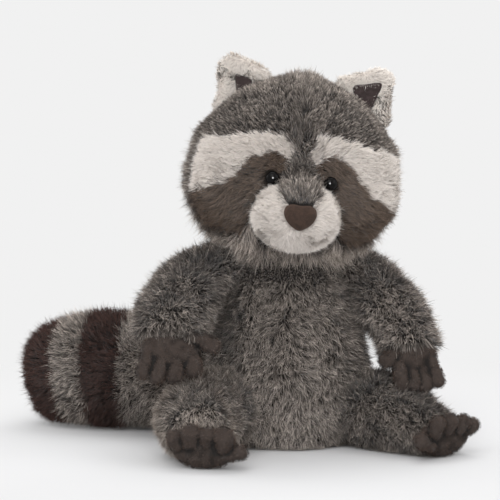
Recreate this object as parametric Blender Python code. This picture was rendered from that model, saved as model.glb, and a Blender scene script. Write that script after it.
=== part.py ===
"""Seated plush raccoon, built as the sewn toy is: stuffed forms, fur panels, suede paws.

Metres, +Z up. The toy faces -Y and its own left side is +X. The origin is the middle of
the flat seat under the torso. Soft forms are drawn at the middle of the fur's pile.
"""
import math

import bpy
import bmesh
import numpy as np
from mathutils import Euler

MM = 0.001
GAP = 0.3 * MM                      # air left between pieces that touch
CUT_MARGIN = 4.0 * MM               # how far a cutter stands out of the surface it cuts

# Torso: a pear with a flat seat, as (height, half width, half depth) of its sections
TORSO_SECTIONS = [
    (0.0 * MM, 44.0 * MM, 41.0 * MM),
    (6.0 * MM, 50.0 * MM, 47.0 * MM),
    (24.0 * MM, 55.0 * MM, 52.0 * MM),
    (50.0 * MM, 54.0 * MM, 52.0 * MM),
    (80.0 * MM, 48.0 * MM, 46.0 * MM),
    (108.0 * MM, 40.0 * MM, 37.0 * MM),
    (128.0 * MM, 30.0 * MM, 28.0 * MM),
]
TORSO_CONE = 11.2 * MM                # height of the cone that closes the torso in the head's seat
TORSO_SIDES = 28
TORSO_ROWS = 11

# Head
HEAD_CENTRE = (4.0 * MM, 2.0 * MM, 180.0 * MM)
HEAD_YAW = math.radians(-11.2)
HEAD_ROLL = math.radians(6.0)
HEAD_HALF_WIDTH = 69.0 * MM
HEAD_HALF_DEPTH = 59.0 * MM
HEAD_CROWN_HEIGHT = 64.0 * MM
HEAD_CHIN_HEIGHT = 61.0 * MM
CHEEK_SWELL = 0.08
CHEEK_LATITUDE = -25.0
CHEEK_SPREAD = 20.0
JOWL_POWER = 0.9
HEAD_SIDES = 32
HEAD_ROWS = 16

# Face panels, as (longitude, latitude) in degrees on the head, from the nose outwards
PANEL_THICKNESS = 4.0 * MM
BROW_TOP = [(5.0, 6.8), (5.8, 14.5), (10.0, 21.0), (20.4, 23.5), (33.0, 21.5), (50.0, 18.5)]
BROW_BOTTOM = [(6.0, 6.0), (9.6, 10.8), (17.0, 13.0), (24.0, 10.3), (30.4, 3.8), (38.5, -5.5),
               (52.0, -13.5)]
PATCH_BOTTOM = [(7.2, 6.2), (8.4, 1.6), (15.2, -6.8), (20.0, -11.0), (24.4, -19.6), (27.0, -31.0),
                (36.0, -43.0), (53.0, -47.5), (74.0, -44.0)]
# Where those three seams end at the side of the head; the two sides were sewn unevenly
SEAM_ENDS = {"right": ((65.0, 15.0), (68.0, -18.0), (88.0, -32.0)),
             "left": ((75.0, 13.5), (76.0, -22.0), (90.0, -34.0))}
PANEL_COLUMNS = 15
PANEL_ROWS = 3

# Muzzle, nose bridge and nose, in the head's own frame
MUZZLE_CENTRE = (0.0 * MM, -52.0 * MM, -27.0 * MM)
MUZZLE_HALF_WIDTH = 28.5 * MM
MUZZLE_HALF_HEIGHT = 25.5 * MM
MUZZLE_REACH = 31.0 * MM
MUZZLE_BACK = 18.0 * MM               # how far the muzzle reaches back into the face
FACE_SOFTNESS = 3.0 * MM              # how softly the bridge steps from the head to the muzzle
MUZZLE_SIDES = 24
MUZZLE_RINGS = 6
BRIDGE_TOP = 5.0 * MM
BRIDGE_BOTTOM = -18.5 * MM
BRIDGE_HALF_WIDTHS = [5.2 * MM, 9.5 * MM, 12.5 * MM, 11.8 * MM, 7.0 * MM]
BRIDGE_THICKNESS = 2.5 * MM
BRIDGE_ROWS = 7
BRIDGE_COLUMNS = 4
NOSE_HEIGHT_ON_HEAD = -24.5 * MM
NOSE_OUTLINE = [(0.0 * MM, 7.2 * MM), (5.5 * MM, 7.6 * MM), (9.4 * MM, 5.8 * MM), (10.5 * MM, 1.6 * MM),
                (8.2 * MM, -3.4 * MM), (4.0 * MM, -7.0 * MM), (0.0 * MM, -8.6 * MM)]
NOSE_CROWN = 3.4 * MM
NOSE_EDGE = 1.0 * MM
NOSE_INLAY = 2.0 * MM

# Eyes: a plastic dome on a shank, held inside the head by a washer
EYE_LONGITUDE = {"right": 14.6, "left": 15.9}
EYE_LATITUDE = -3.0
EYE_RADIUS = 4.6 * MM
EYE_HEIGHT = 4.0 * MM
EYE_INLAY = 1.0 * MM
SHANK_RADIUS = 2.0 * MM
SHANK_LENGTH = 13.0 * MM
WASHER_RADIUS = 6.0 * MM
WASHER_THICKNESS = 1.5 * MM
WASHER_DEPTH = 8.0 * MM
LATHE_SIDES = 12

# Ears, with the outlines as (outwards, upwards) from the ear's centre
EAR_CENTRE = (HEAD_HALF_WIDTH - 26.0 * MM, HEAD_CROWN_HEIGHT - 12.0 * MM)
EAR_OUTLINE = [(14.0 * MM, -21.0 * MM), (16.5 * MM, -5.0 * MM), (16.5 * MM, 10.0 * MM),
               (12.5 * MM, 19.0 * MM), (3.5 * MM, 21.0 * MM), (-8.0 * MM, 17.5 * MM),
               (-22.5 * MM, 8.5 * MM), (-19.0 * MM, -12.0 * MM), (-3.0 * MM, -26.0 * MM)]
EAR_HINGE = -22.5 * MM                # the ears widen or narrow from here outwards
EAR_SPREAD = {"right": 0.94, "left": 1.06}
EAR_PLANE = 3.0 * MM
EAR_HALF_THICKNESS = 6.0 * MM
EAR_CUP = 5.0 * MM
EAR_CUP_RADIUS = 14.0 * MM
EAR_RINGS = 4
LINING_OUTLINE = {
    "right": [(2.8 * MM, 6.8 * MM), (-2.0 * MM, 6.0 * MM), (-7.5 * MM, 4.6 * MM), (-8.6 * MM, 0.6 * MM),
              (-5.0 * MM, -7.0 * MM), (-1.0 * MM, -11.0 * MM), (2.2 * MM, -2.0 * MM)],
    "left": [(7.5 * MM, 10.5 * MM), (-0.5 * MM, 9.5 * MM), (-10.0 * MM, 6.5 * MM), (-6.5 * MM, -3.0 * MM),
             (0.0 * MM, -11.0 * MM), (5.0 * MM, -1.0 * MM)],
}
LINING_THICKNESS = 1.4 * MM
LINING_PROUD = 0.4 * MM
LINING_RINGS = 3
OUTLINE_STEPS = 22

# Arms, each as the middle line and radius of its sleeve from shoulder to cuff
ARM_SPINE = {
    "right": [(-37.0 * MM, 8.0 * MM, 119.0 * MM), (-59.5 * MM, -3.0 * MM, 110.5 * MM),
              (-78.0 * MM, -19.5 * MM, 98.0 * MM), (-87.5 * MM, -30.0 * MM, 86.0 * MM),
              (-90.0 * MM, -35.5 * MM, 76.5 * MM)],
    "left": [(36.0 * MM, 8.0 * MM, 115.0 * MM), (54.5 * MM, -4.0 * MM, 104.0 * MM),
             (66.0 * MM, -24.0 * MM, 90.0 * MM), (70.5 * MM, -37.0 * MM, 76.0 * MM),
             (69.5 * MM, -45.0 * MM, 64.0 * MM)],
}
ARM_RADII = {"right": [16.0 * MM, 19.0 * MM, 21.5 * MM, 22.5 * MM, 23.0 * MM],
             "left": [16.0 * MM, 20.0 * MM, 21.0 * MM, 20.5 * MM, 20.0 * MM]}
CUFF_ROUNDING = 5.0 * MM
LIMB_SIDES = 16
LIMB_ROWS = 8
LIMB_CAP_ANGLES = (25.0, 50.0, 72.0)  # rings of a rounded end, as angles past it
DIGIT_CAP_ANGLES = (35.0, 65.0)

# Hands: a flat palm with four fingers that hang down and a thumb towards the body.
# Each has its place, its lean backwards and its swing to the side
HAND_PLACE = {
    "right": ((-91.8 * MM, -46.7 * MM, 67.9 * MM), math.radians(-16.0), math.radians(7.0)),
    "left": ((69.5 * MM, -54.7 * MM, 57.9 * MM), math.radians(-30.0), math.radians(-13.0)),
}
# Half width, thickness and height of each palm, and its fingers from the thumb side to the little one
PALM_HALVES = {"right": (19.0 * MM, 7.0 * MM, 11.0 * MM), "left": (15.0 * MM, 7.0 * MM, 12.0 * MM)}
FINGER_ROOTS = {"right": [-13.4 * MM, -2.9 * MM, 6.9 * MM, 14.6 * MM],
                "left": [-10.1 * MM, -3.3 * MM, 3.2 * MM, 9.5 * MM]}
FINGER_TIPS = {"right": [-15.5 * MM, -3.4 * MM, 8.2 * MM, 18.0 * MM],
               "left": [-13.3 * MM, -5.8 * MM, 1.4 * MM, 9.8 * MM]}
FINGER_RADII = {"right": [5.0 * MM, 4.9 * MM, 4.6 * MM, 3.9 * MM],
                "left": [4.7 * MM, 4.0 * MM, 4.0 * MM, 4.2 * MM]}
FINGER_DROPS = {"right": [15.6 * MM, 19.6 * MM, 20.9 * MM, 18.0 * MM],
                "left": [18.0 * MM, 21.6 * MM, 23.7 * MM, 22.8 * MM]}
# Middle line of each thumb as (outwards, upwards) from the palm's centre
THUMB_LINE = {"right": [(-8.0 * MM, 2.0 * MM), (-18.0 * MM, 4.0 * MM), (-28.5 * MM, 2.5 * MM)],
              "left": [(-5.0 * MM, 5.5 * MM), (-11.0 * MM, 6.0 * MM), (-18.2 * MM, 3.6 * MM)]}
THUMB_RADIUS = {"right": 4.2 * MM, "left": 4.6 * MM}
DIGIT_ROOT_SHARE = 0.94               # a digit is this much slimmer where it leaves the pad
DIGIT_SIDES = 8
DIGIT_ROWS = 4
PAD_SIDES = 16
PAD_LATITUDES = [-60.0, -30.0, 0.0, 30.0, 60.0]

# Legs, splayed forwards on the floor, with the soles turned to the front
LEG_SPINE = {
    "right": [(-28.0 * MM, -8.0 * MM, 24.0 * MM), (-58.0 * MM, -30.0 * MM, 26.0 * MM),
              (-76.0 * MM, -52.0 * MM, 25.0 * MM), (-80.0 * MM, -75.0 * MM, 22.5 * MM)],
    "left": [(28.0 * MM, -12.0 * MM, 24.0 * MM), (50.0 * MM, -43.0 * MM, 23.0 * MM),
             (65.5 * MM, -65.0 * MM, 17.0 * MM), (75.0 * MM, -79.0 * MM, 12.5 * MM)],
}
LEG_RADII = {"right": [24.0 * MM, 26.0 * MM, 25.0 * MM, 23.5 * MM],
             "left": [24.0 * MM, 26.0 * MM, 22.0 * MM, 18.0 * MM]}
ANKLE_ROUNDING = 6.0 * MM
FOOT_PLACE = (79.5 * MM, -88.5 * MM, 13.5 * MM)
FOOT_SPLAY = math.radians(24.0)
FOOT_LEAN = math.radians(12.0)
# Half width, thickness and height of each sole, and its toes from the inner to the outer side
SOLE_HALVES = {"right": (20.0 * MM, 8.0 * MM, 13.2 * MM), "left": (18.5 * MM, 8.0 * MM, 13.2 * MM)}
TOE_ROOTS = {"right": [-12.2 * MM, -2.4 * MM, 8.0 * MM, 16.4 * MM],
             "left": [-14.2 * MM, -4.2 * MM, 4.6 * MM, 11.5 * MM]}
TOE_TIPS = {"right": [-13.7 * MM, -3.0 * MM, 7.7 * MM, 17.9 * MM],
            "left": [-14.1 * MM, -2.8 * MM, 8.4 * MM, 16.9 * MM]}
TOE_RADII = {"right": [6.1 * MM, 4.6 * MM, 5.5 * MM, 4.5 * MM],
             "left": [4.7 * MM, 4.6 * MM, 4.6 * MM, 4.4 * MM]}
TOE_RISES = {"right": [15.5 * MM, 15.7 * MM, 17.0 * MM, 13.6 * MM],
             "left": [16.6 * MM, 17.2 * MM, 15.5 * MM, 12.3 * MM]}
TOE_CURL = 6.0 * MM                   # how far the toes' middle lines stand out of the sole's middle
BIG_TOE_LINE = {"right": [(-8.0 * MM, -3.0 * MM), (-15.4 * MM, -2.7 * MM), (-23.4 * MM, -0.6 * MM)],
                "left": [(-8.0 * MM, -4.0 * MM), (-16.5 * MM, -3.2 * MM), (-25.5 * MM, 1.6 * MM)]}
BIG_TOE_RADIUS = {"right": 4.2 * MM, "left": 4.4 * MM}

# Tail: one fat sewn tube in four bands, lying on the floor towards the toy's right
TAIL_SPINE = [(2.0 * MM, 44.0 * MM, 34.0 * MM), (-40.0 * MM, 59.0 * MM, 37.0 * MM),
              (-84.0 * MM, 70.0 * MM, 39.0 * MM), (-114.0 * MM, 84.0 * MM, 39.0 * MM),
              (-139.5 * MM, 98.0 * MM, 36.0 * MM)]
TAIL_RADII = [28.0 * MM, 35.0 * MM, 38.5 * MM, 39.0 * MM, 33.0 * MM]
TAIL_END_ROUNDING = 17.0 * MM
TAIL_SEAMS = [-92.5 * MM, -112.5 * MM, -134.0 * MM]     # X of the middle line where the bands meet
TAIL_BANDS = {"tail_root": "grey_fur", "tail_band_dark": "brown_fur", "tail_band_grey": "grey_fur",
              "tail_tip": "brown_fur"}
TAIL_RINGS_PER_BAND = 9
TAIL_SIDES = 20
TAIL_CAP_ANGLES = (30.0, 55.0, 75.0)
TAIL_CAP_POWER = 0.8                  # below 1 the tip is blunter than an ellipse
TAIL_ROWS = 80

SIDES = {"left": 1.0, "right": -1.0}

# Materials: colour as linear red, green and blue, then roughness
FINISHES = {
    "grey_fur": ((0.150, 0.128, 0.110), 0.95),
    "cream_fur": ((0.640, 0.560, 0.500), 0.95),
    "brown_fur": ((0.085, 0.060, 0.047), 0.95),
    "brown_suede": ((0.060, 0.044, 0.034), 0.90),
    "ear_suede": ((0.035, 0.024, 0.022), 0.90),
    "nose_suede": ((0.065, 0.030, 0.020), 0.85),
    "black_plastic": ((0.004, 0.004, 0.004), 0.08),
    "white_plastic": ((0.700, 0.700, 0.680), 0.45),
}


def finish(name):
    """The named Principled material, made once."""
    material = bpy.data.materials.get(name)
    if material is None:
        colour, roughness = FINISHES[name]
        material = bpy.data.materials.new(name)
        material.use_nodes = True
        shader = material.node_tree.nodes["Principled BSDF"]
        shader.inputs["Base Color"].default_value = (*colour, 1.0)
        shader.inputs["Roughness"].default_value = roughness
        shader.inputs["Metallic"].default_value = 0.0
    return material


def smooth_curve(points, count, closed=False):
    """Catmull-Rom curve through the points, read at even steps of its parameter."""
    points = np.asarray(points, float)
    last = len(points) if closed else len(points) - 1
    place = np.linspace(0.0, last, count, endpoint=not closed)
    index = np.minimum(place.astype(int), last - 1)
    t = (place - index)[:, None]

    def at(offset):
        wanted = index + offset
        if closed:
            return points[wanted % len(points)]
        inside = points[np.clip(wanted, 0, len(points) - 1)]
        before = (wanted < 0)[:, None]
        after = (wanted >= len(points))[:, None]
        inside = np.where(before, 2.0 * points[0] - points[1], inside)
        return np.where(after, 2.0 * points[-1] - points[-2], inside)

    p0, p1, p2, p3 = at(-1), at(0), at(1), at(2)
    return 0.5 * (2.0 * p1 + (p2 - p0) * t + (2.0 * p0 - 5.0 * p1 + 4.0 * p2 - p3) * t**2
                  + (3.0 * p1 - p0 - 3.0 * p2 + p3) * t**3)


def add_solid(name, vertices, faces, material=None, parent=None):
    """An object from plain vertices and faces, faces outwards; without a material it is a cutter."""
    mesh = bpy.data.meshes.new(name)
    mesh.from_pydata([tuple(v) for v in vertices], [], faces)
    shape = bmesh.new()
    shape.from_mesh(mesh)
    bmesh.ops.remove_doubles(shape, verts=shape.verts, dist=1e-7)
    bmesh.ops.triangulate(shape, faces=shape.faces)
    bmesh.ops.recalc_face_normals(shape, faces=shape.faces)
    shape.to_mesh(mesh)
    shape.free()
    mesh.shade_smooth()
    mesh.set_sharp_from_angle(angle=math.radians(50.0))
    solid = bpy.data.objects.new(name, mesh)
    bpy.context.collection.objects.link(solid)
    solid.parent = parent
    if material is None:
        solid.hide_render = True
        solid.display_type = 'WIRE'
    else:
        mesh.materials.append(finish(material))
    return solid


def loft(rings, start, end):
    """Vertices and faces of a closed form: rings of points, closed by a fan to a point at each end."""
    rings = np.asarray(rings, float)
    rows, sides = rings.shape[:2]
    vertices = np.concatenate([rings.reshape(-1, 3), [start], [end]])
    faces = []
    for row in range(rows - 1):
        for side in range(sides):
            turn = (side + 1) % sides
            faces.append((row * sides + side, row * sides + turn,
                          (row + 1) * sides + turn, (row + 1) * sides + side))
    for side in range(sides):
        turn = (side + 1) % sides
        faces.append((rows * sides, turn, side))
        faces.append((rows * sides + 1, (rows - 1) * sides + side, (rows - 1) * sides + turn))
    return vertices, faces


def grid_rim(rows, columns):
    """Indices of a grid's outer points, in order round it."""
    rim = list(range(columns))
    rim += [row * columns + columns - 1 for row in range(1, rows)]
    rim += [(rows - 1) * columns + column for column in range(columns - 2, -1, -1)]
    return rim + [row * columns for row in range(rows - 2, 0, -1)]


def slab(outer, inner):
    """Vertices and faces of a closed plate between two grids of the same size."""
    outer = np.asarray(outer, float)
    rows, columns = outer.shape[:2]
    vertices = np.concatenate([outer.reshape(-1, 3), np.asarray(inner, float).reshape(-1, 3)])
    under = rows * columns
    faces = []
    for row in range(rows - 1):
        for column in range(columns - 1):
            corner = row * columns + column
            loop = (corner, corner + 1, corner + columns + 1, corner + columns)
            faces.append(loop)
            faces.append(tuple(index + under for index in reversed(loop)))
    rim = grid_rim(rows, columns)
    for here, after in zip(rim, rim[1:] + rim[:1]):
        faces.append((here, here + under, after + under, after))
    return vertices, faces


def combine(solid, operation, others):
    """Boolean of the solid with each other form; the exact solver loses fine fingers and sockets here."""
    for other in others:
        modifier = solid.modifiers.new(operation.lower() + " " + other.name, 'BOOLEAN')
        modifier.operation = operation
        modifier.solver = 'MANIFOLD'
        modifier.object = other


def cut(solid, *cutters):
    """Takes each cutter's form out of the solid."""
    combine(solid, 'DIFFERENCE', cutters)


def unite(solid, *others):
    """Joins the other forms to the solid."""
    combine(solid, 'UNION', others)


def tube(spine, radii, sides, start_rounding, end_rounding, grow=0.0, on_floor=False,
         cap=LIMB_CAP_ANGLES):
    """Rings along a spine with rounded ends; each ring stands square to the spine.

    An end of rounding q closes as an ellipse: at angle a the ring has radius r cos(a)
    and lies q sin(a) past the end.
    """
    spine = np.asarray(spine, float)
    radii = np.asarray(radii, float) + grow
    tangents = np.gradient(spine, axis=0)
    tangents /= np.linalg.norm(tangents, axis=1)[:, None]
    angles = np.radians(cap)
    start = start_rounding + grow
    end = end_rounding + grow
    before = [(spine[0] - tangents[0] * start * math.sin(a), tangents[0], radii[0] * math.cos(a))
              for a in angles[::-1]]
    after = [(spine[-1] + tangents[-1] * end * math.sin(a), tangents[-1], radii[-1] * math.cos(a))
             for a in angles]
    stations = before + list(zip(spine, tangents, radii)) + after
    turns = np.linspace(0.0, 2.0 * math.pi, sides, endpoint=False)
    rings = []
    for centre, tangent, radius in stations:
        across = np.cross(tangent, (0.0, 0.0, 1.0))
        if np.linalg.norm(across) < 0.2:
            across = np.cross(tangent, (0.0, 1.0, 0.0))
        across /= np.linalg.norm(across)
        lift = np.cross(across, tangent)
        rings.append(centre + radius * (np.cos(turns)[:, None] * across + np.sin(turns)[:, None] * lift))
    rings = np.array(rings)
    poles = np.array([spine[0] - tangents[0] * start, spine[-1] + tangents[-1] * end])
    if on_floor:
        floor = -grow
        rings[..., 2] = np.maximum(rings[..., 2], floor)
        poles[:, 2] = np.maximum(poles[:, 2], floor)
    return loft(rings, poles[0], poles[1])


def torso_form(grow):
    """Pear loft: elliptical sections of the torso, closed by a low cone inside the head's seat."""
    sections = smooth_curve(TORSO_SECTIONS, TORSO_ROWS)
    turns = np.linspace(0.0, 2.0 * math.pi, TORSO_SIDES, endpoint=False)
    rings = []
    for height, half_width, half_depth in sections:
        rings.append(np.stack([(half_width + grow) * np.cos(turns), (half_depth + grow) * np.sin(turns),
                               np.full(TORSO_SIDES, height)], -1))
    rings[0][:, 2] -= grow
    return loft(rings, (0.0, 0.0, -grow), (0.0, 0.0, TORSO_SECTIONS[-1][0] + TORSO_CONE + grow))


def head_point(longitude, latitude, grow=0.0):
    """Point of the head, in its own frame, at angles in degrees; longitude 0 is the face.

    An ellipsoid whose sides swell by a bell curve at the cheeks and whose lower half is
    boxier, because there the cosine of the latitude is raised to a power below one.
    """
    lon = np.radians(longitude)
    lat = np.radians(latitude)
    power = np.where(lat < 0.0, JOWL_POWER, 1.0)
    around = np.abs(np.cos(lat)) ** power
    cheek = 1.0 + CHEEK_SWELL * np.exp(-((np.asarray(latitude) - CHEEK_LATITUDE) / CHEEK_SPREAD) ** 2)
    height = np.where(lat < 0.0, HEAD_CHIN_HEIGHT, HEAD_CROWN_HEIGHT)
    return np.stack([(HEAD_HALF_WIDTH + grow) * around * np.sin(lon) * cheek,
                     -(HEAD_HALF_DEPTH + grow) * around * np.cos(lon),
                     (height + grow) * np.sin(lat) * np.ones_like(lon)], -1)


def head_form(grow):
    """The head's closed form, from rings of latitude."""
    latitudes = np.linspace(-90.0, 90.0, HEAD_ROWS + 1)[1:-1]
    longitudes = np.linspace(-180.0, 180.0, HEAD_SIDES, endpoint=False)
    lon, lat = np.meshgrid(longitudes, latitudes)
    return loft(head_point(lon, lat, grow), (0.0, 0.0, -HEAD_CHIN_HEIGHT - grow),
                (0.0, 0.0, HEAD_CROWN_HEIGHT + grow))


def face_panel(curves, label, widen, outer, inner):
    """Plate on the head between its first and last curves of angles, widened all round by a length."""
    side = SIDES[label]
    lines = [smooth_curve(curve, PANEL_COLUMNS) for curve in curves]
    rows = [lines[0]]
    for above, below in zip(lines, lines[1:]):
        for share in np.linspace(0.0, 1.0, PANEL_ROWS + 1)[1:]:
            rows.append(above * (1.0 - share) + below * share)
    angles = np.array(rows)
    rim = grid_rim(*angles.shape[:2])
    outline = angles.reshape(-1, 2)[rim]
    along = np.roll(outline, -1, axis=0) - np.roll(outline, 1, axis=0)
    normal = np.stack([-along[:, 1], along[:, 0]], -1)
    normal /= np.linalg.norm(normal, axis=1)[:, None]
    flat = angles.reshape(-1, 2)
    flat[rim] = outline + normal * math.degrees(widen / HEAD_HALF_WIDTH)
    angles = flat.reshape(angles.shape)
    return slab(head_point(side * angles[..., 0], angles[..., 1], outer),
                head_point(side * angles[..., 0], angles[..., 1], inner))


def muzzle_front(x, z):
    """Depth (-Y) of the muzzle's front at a place of the face: half an ellipsoid."""
    spread = (x / MUZZLE_HALF_WIDTH) ** 2 + ((z - MUZZLE_CENTRE[2]) / MUZZLE_HALF_HEIGHT) ** 2
    return -MUZZLE_CENTRE[1] + MUZZLE_REACH * np.sqrt(np.maximum(1.0 - spread, 0.0))


def head_front(x, z):
    """Depth (-Y) of the head's front at a place of the face."""
    height = np.where(z < 0.0, HEAD_CHIN_HEIGHT, HEAD_CROWN_HEIGHT)
    lat = np.arcsin(np.clip(z / height, -1.0, 1.0))
    power = np.where(z < 0.0, JOWL_POWER, 1.0)
    around = np.cos(lat) ** power
    return HEAD_HALF_DEPTH * around * np.sqrt(np.maximum(1.0 - (x / (HEAD_HALF_WIDTH * around)) ** 2, 0.0))


def face_front(x, z):
    """Depth of the dressed face: the head and the muzzle, with a soft step between them."""
    head = head_front(x, z)
    muzzle = muzzle_front(x, z)
    return 0.5 * (head + muzzle + np.sqrt((head - muzzle) ** 2 + FACE_SOFTNESS**2))


def muzzle_form():
    """Half ellipsoid that bulges out of the face, closed behind the head's surface."""
    turns = np.linspace(0.0, 2.0 * math.pi, MUZZLE_SIDES, endpoint=False)
    centre = np.array(MUZZLE_CENTRE)
    back = centre + (0.0, MUZZLE_BACK, 0.0)
    oval = np.stack([MUZZLE_HALF_WIDTH * np.cos(turns), 0.0 * turns,
                     MUZZLE_HALF_HEIGHT * np.sin(turns)], -1)
    rings = [back + oval]
    for angle in np.linspace(0.0, 0.5 * math.pi, MUZZLE_RINGS, endpoint=False):
        rings.append(centre - (0.0, MUZZLE_REACH * math.sin(angle), 0.0) + oval * math.cos(angle))
    return loft(rings, back, centre - (0.0, MUZZLE_REACH, 0.0))


def bridge_form(widen, outer, inner):
    """Strip of fur from between the brows, over the muzzle, down to the nose."""
    share = np.linspace(0.0, 1.0, BRIDGE_ROWS + 1)
    half_widths = smooth_curve([(width,) for width in BRIDGE_HALF_WIDTHS], BRIDGE_ROWS + 1)
    x = half_widths * np.linspace(-1.0, 1.0, BRIDGE_COLUMNS + 1)
    z = (BRIDGE_TOP + (BRIDGE_BOTTOM - BRIDGE_TOP) * share[:, None]) * np.ones_like(x)
    x[:, 0] -= widen
    x[:, -1] += widen
    z[0] += widen
    z[-1] -= widen
    depth = face_front(x, z)
    return slab(np.stack([x, -(depth + outer), z], -1), np.stack([x, -(depth + inner), z], -1))


def mirrored_outline(half, count):
    """Closed outline from one half of it, given from the top to the bottom of the middle line."""
    other = [(-x, z) for x, z in half[-2:0:-1]]
    return smooth_curve(half + other, count, closed=True)


def nose_form(widen, crown, edge, inlay):
    """Suede pad: rings of the nose's outline, crowned in front and let into the muzzle."""
    outline = mirrored_outline(NOSE_OUTLINE, OUTLINE_STEPS)
    outline = outline + widen * outline / np.linalg.norm(outline, axis=1)[:, None]
    rings = []
    for share, front in ((1.0, False), (1.0, True), (0.9, True), (0.7, True), (0.4, True)):
        x = outline[:, 0] * share
        z = outline[:, 1] * share + NOSE_HEIGHT_ON_HEAD
        lift = edge + (crown - edge) * (1.0 - share**3) if front else -inlay
        rings.append(np.stack([x, -(muzzle_front(x, z) + lift), z], -1))
    middle = muzzle_front(0.0, NOSE_HEIGHT_ON_HEAD)
    return loft(rings, (0.0, -(middle - inlay), NOSE_HEIGHT_ON_HEAD),
                (0.0, -(middle + crown), NOSE_HEIGHT_ON_HEAD))


def lathe(profile, centre, axis, sides=LATHE_SIDES):
    """Turned form from (distance along the axis, radius) pairs that start and end on the axis."""
    axis = np.asarray(axis, float) / np.linalg.norm(axis)
    across = np.cross(axis, (0.0, 0.0, 1.0))
    across /= np.linalg.norm(across)
    lift = np.cross(across, axis)
    turns = np.linspace(0.0, 2.0 * math.pi, sides, endpoint=False)
    circle = np.cos(turns)[:, None] * across + np.sin(turns)[:, None] * lift
    rings = [centre + axis * along + circle * radius for along, radius in profile[1:-1]]
    return loft(rings, centre + axis * profile[0][0], centre + axis * profile[-1][0])


def eye_place(label):
    """Place of an eye on the head's surface and the direction that it looks in."""
    lon, lat, step = SIDES[label] * EYE_LONGITUDE[label], EYE_LATITUDE, 0.5
    centre = head_point(lon, lat)
    across = head_point(lon + step, lat) - head_point(lon - step, lat)
    lift = head_point(lon, lat + step) - head_point(lon, lat - step)
    look = np.cross(across, lift)
    look /= np.linalg.norm(look)
    return centre, look


def eye_profile(grow):
    """Dome, flat back and shank of an eye, from the shank's end outwards."""
    dome = [((EYE_HEIGHT + grow) * math.sin(a), (EYE_RADIUS + grow) * math.cos(a))
            for a in np.radians([0.0, 20.0, 40.0, 58.0, 75.0])]
    return ([(-SHANK_LENGTH - grow, 0.0), (-SHANK_LENGTH - grow, SHANK_RADIUS + grow),
             (-EYE_INLAY - grow, SHANK_RADIUS + grow), (-EYE_INLAY - grow, EYE_RADIUS + grow)]
            + dome + [(EYE_HEIGHT + grow, 0.0)])


def ear_faces(spoke):
    """Depths of the ear's front and back at places of its plane, as offsets from its centre.

    The plate thins to its rim as the square root of one less the cube of the share of
    the way out, and a bell curve around the middle hollows its front.
    """
    rim = smooth_curve(EAR_OUTLINE, OUTLINE_STEPS, closed=True)
    turn = np.arctan2(spoke[:, 1], spoke[:, 0])
    distance = np.linalg.norm(spoke, axis=1)
    reach = np.interp(turn, *sorted_by_turn(rim), period=2.0 * math.pi)
    thin = EAR_HALF_THICKNESS * np.sqrt(np.maximum(1.0 - (distance / reach) ** 3, 0.0))
    hollow = EAR_CUP * np.exp(-(distance / EAR_CUP_RADIUS) ** 2)
    return EAR_PLANE - thin + hollow, EAR_PLANE + thin


def sorted_by_turn(rim):
    """Angles and lengths of the rim's spokes, in the order of their angles."""
    turn = np.arctan2(rim[:, 1], rim[:, 0])
    order = np.argsort(turn)
    return turn[order], np.linalg.norm(rim, axis=1)[order]


def on_ear(label, spoke, depth):
    """Points of an ear in the head's frame, from offsets in its plane and depths; its hinge stays put."""
    out = EAR_HINGE + (spoke[:, 0] - EAR_HINGE) * EAR_SPREAD[label]
    return np.stack([SIDES[label] * (EAR_CENTRE[0] + out), depth, EAR_CENTRE[1] + spoke[:, 1]], -1)


def ear_form(label):
    """Cupped plate of the ear: rings of its outline shrunk to the middle, front and back."""
    loop = smooth_curve(EAR_OUTLINE, OUTLINE_STEPS, closed=True)
    fronts, backs = [], []
    for share in np.linspace(1.0 / EAR_RINGS, 1.0, EAR_RINGS):
        front, back = ear_faces(loop * share)
        fronts.append(on_ear(label, loop * share, front))
        backs.append(on_ear(label, loop * share, back))
    middle = np.zeros((1, 2))
    front, back = ear_faces(middle)
    return loft(fronts + backs[-2::-1], on_ear(label, middle, front)[0], on_ear(label, middle, back)[0])


def lining_form(label, widen, proud, depth):
    """Suede pad that follows the ear's hollow, from a little proud of it to a depth below it."""
    loop = smooth_curve(LINING_OUTLINE[label], OUTLINE_STEPS, closed=True)
    centre = loop.mean(axis=0, keepdims=True)
    spoke = loop - centre
    spoke = spoke * (1.0 + widen / np.linalg.norm(spoke, axis=1))[:, None]
    fronts, backs = [], []
    for share in np.linspace(1.0 / LINING_RINGS, 1.0, LINING_RINGS):
        front, _ = ear_faces(centre + spoke * share)
        fronts.append(on_ear(label, centre + spoke * share, front - proud))
        backs.append(on_ear(label, centre + spoke * share, front + depth))
    front, _ = ear_faces(centre)
    return loft(fronts + backs[::-1], on_ear(label, centre, front - proud)[0],
                on_ear(label, centre, front + depth)[0])


def placed(points, centre, matrix):
    """Points of a paw's own frame, turned and moved to their place on the toy."""
    return np.asarray(points, float) @ matrix.T + np.asarray(centre)


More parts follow.
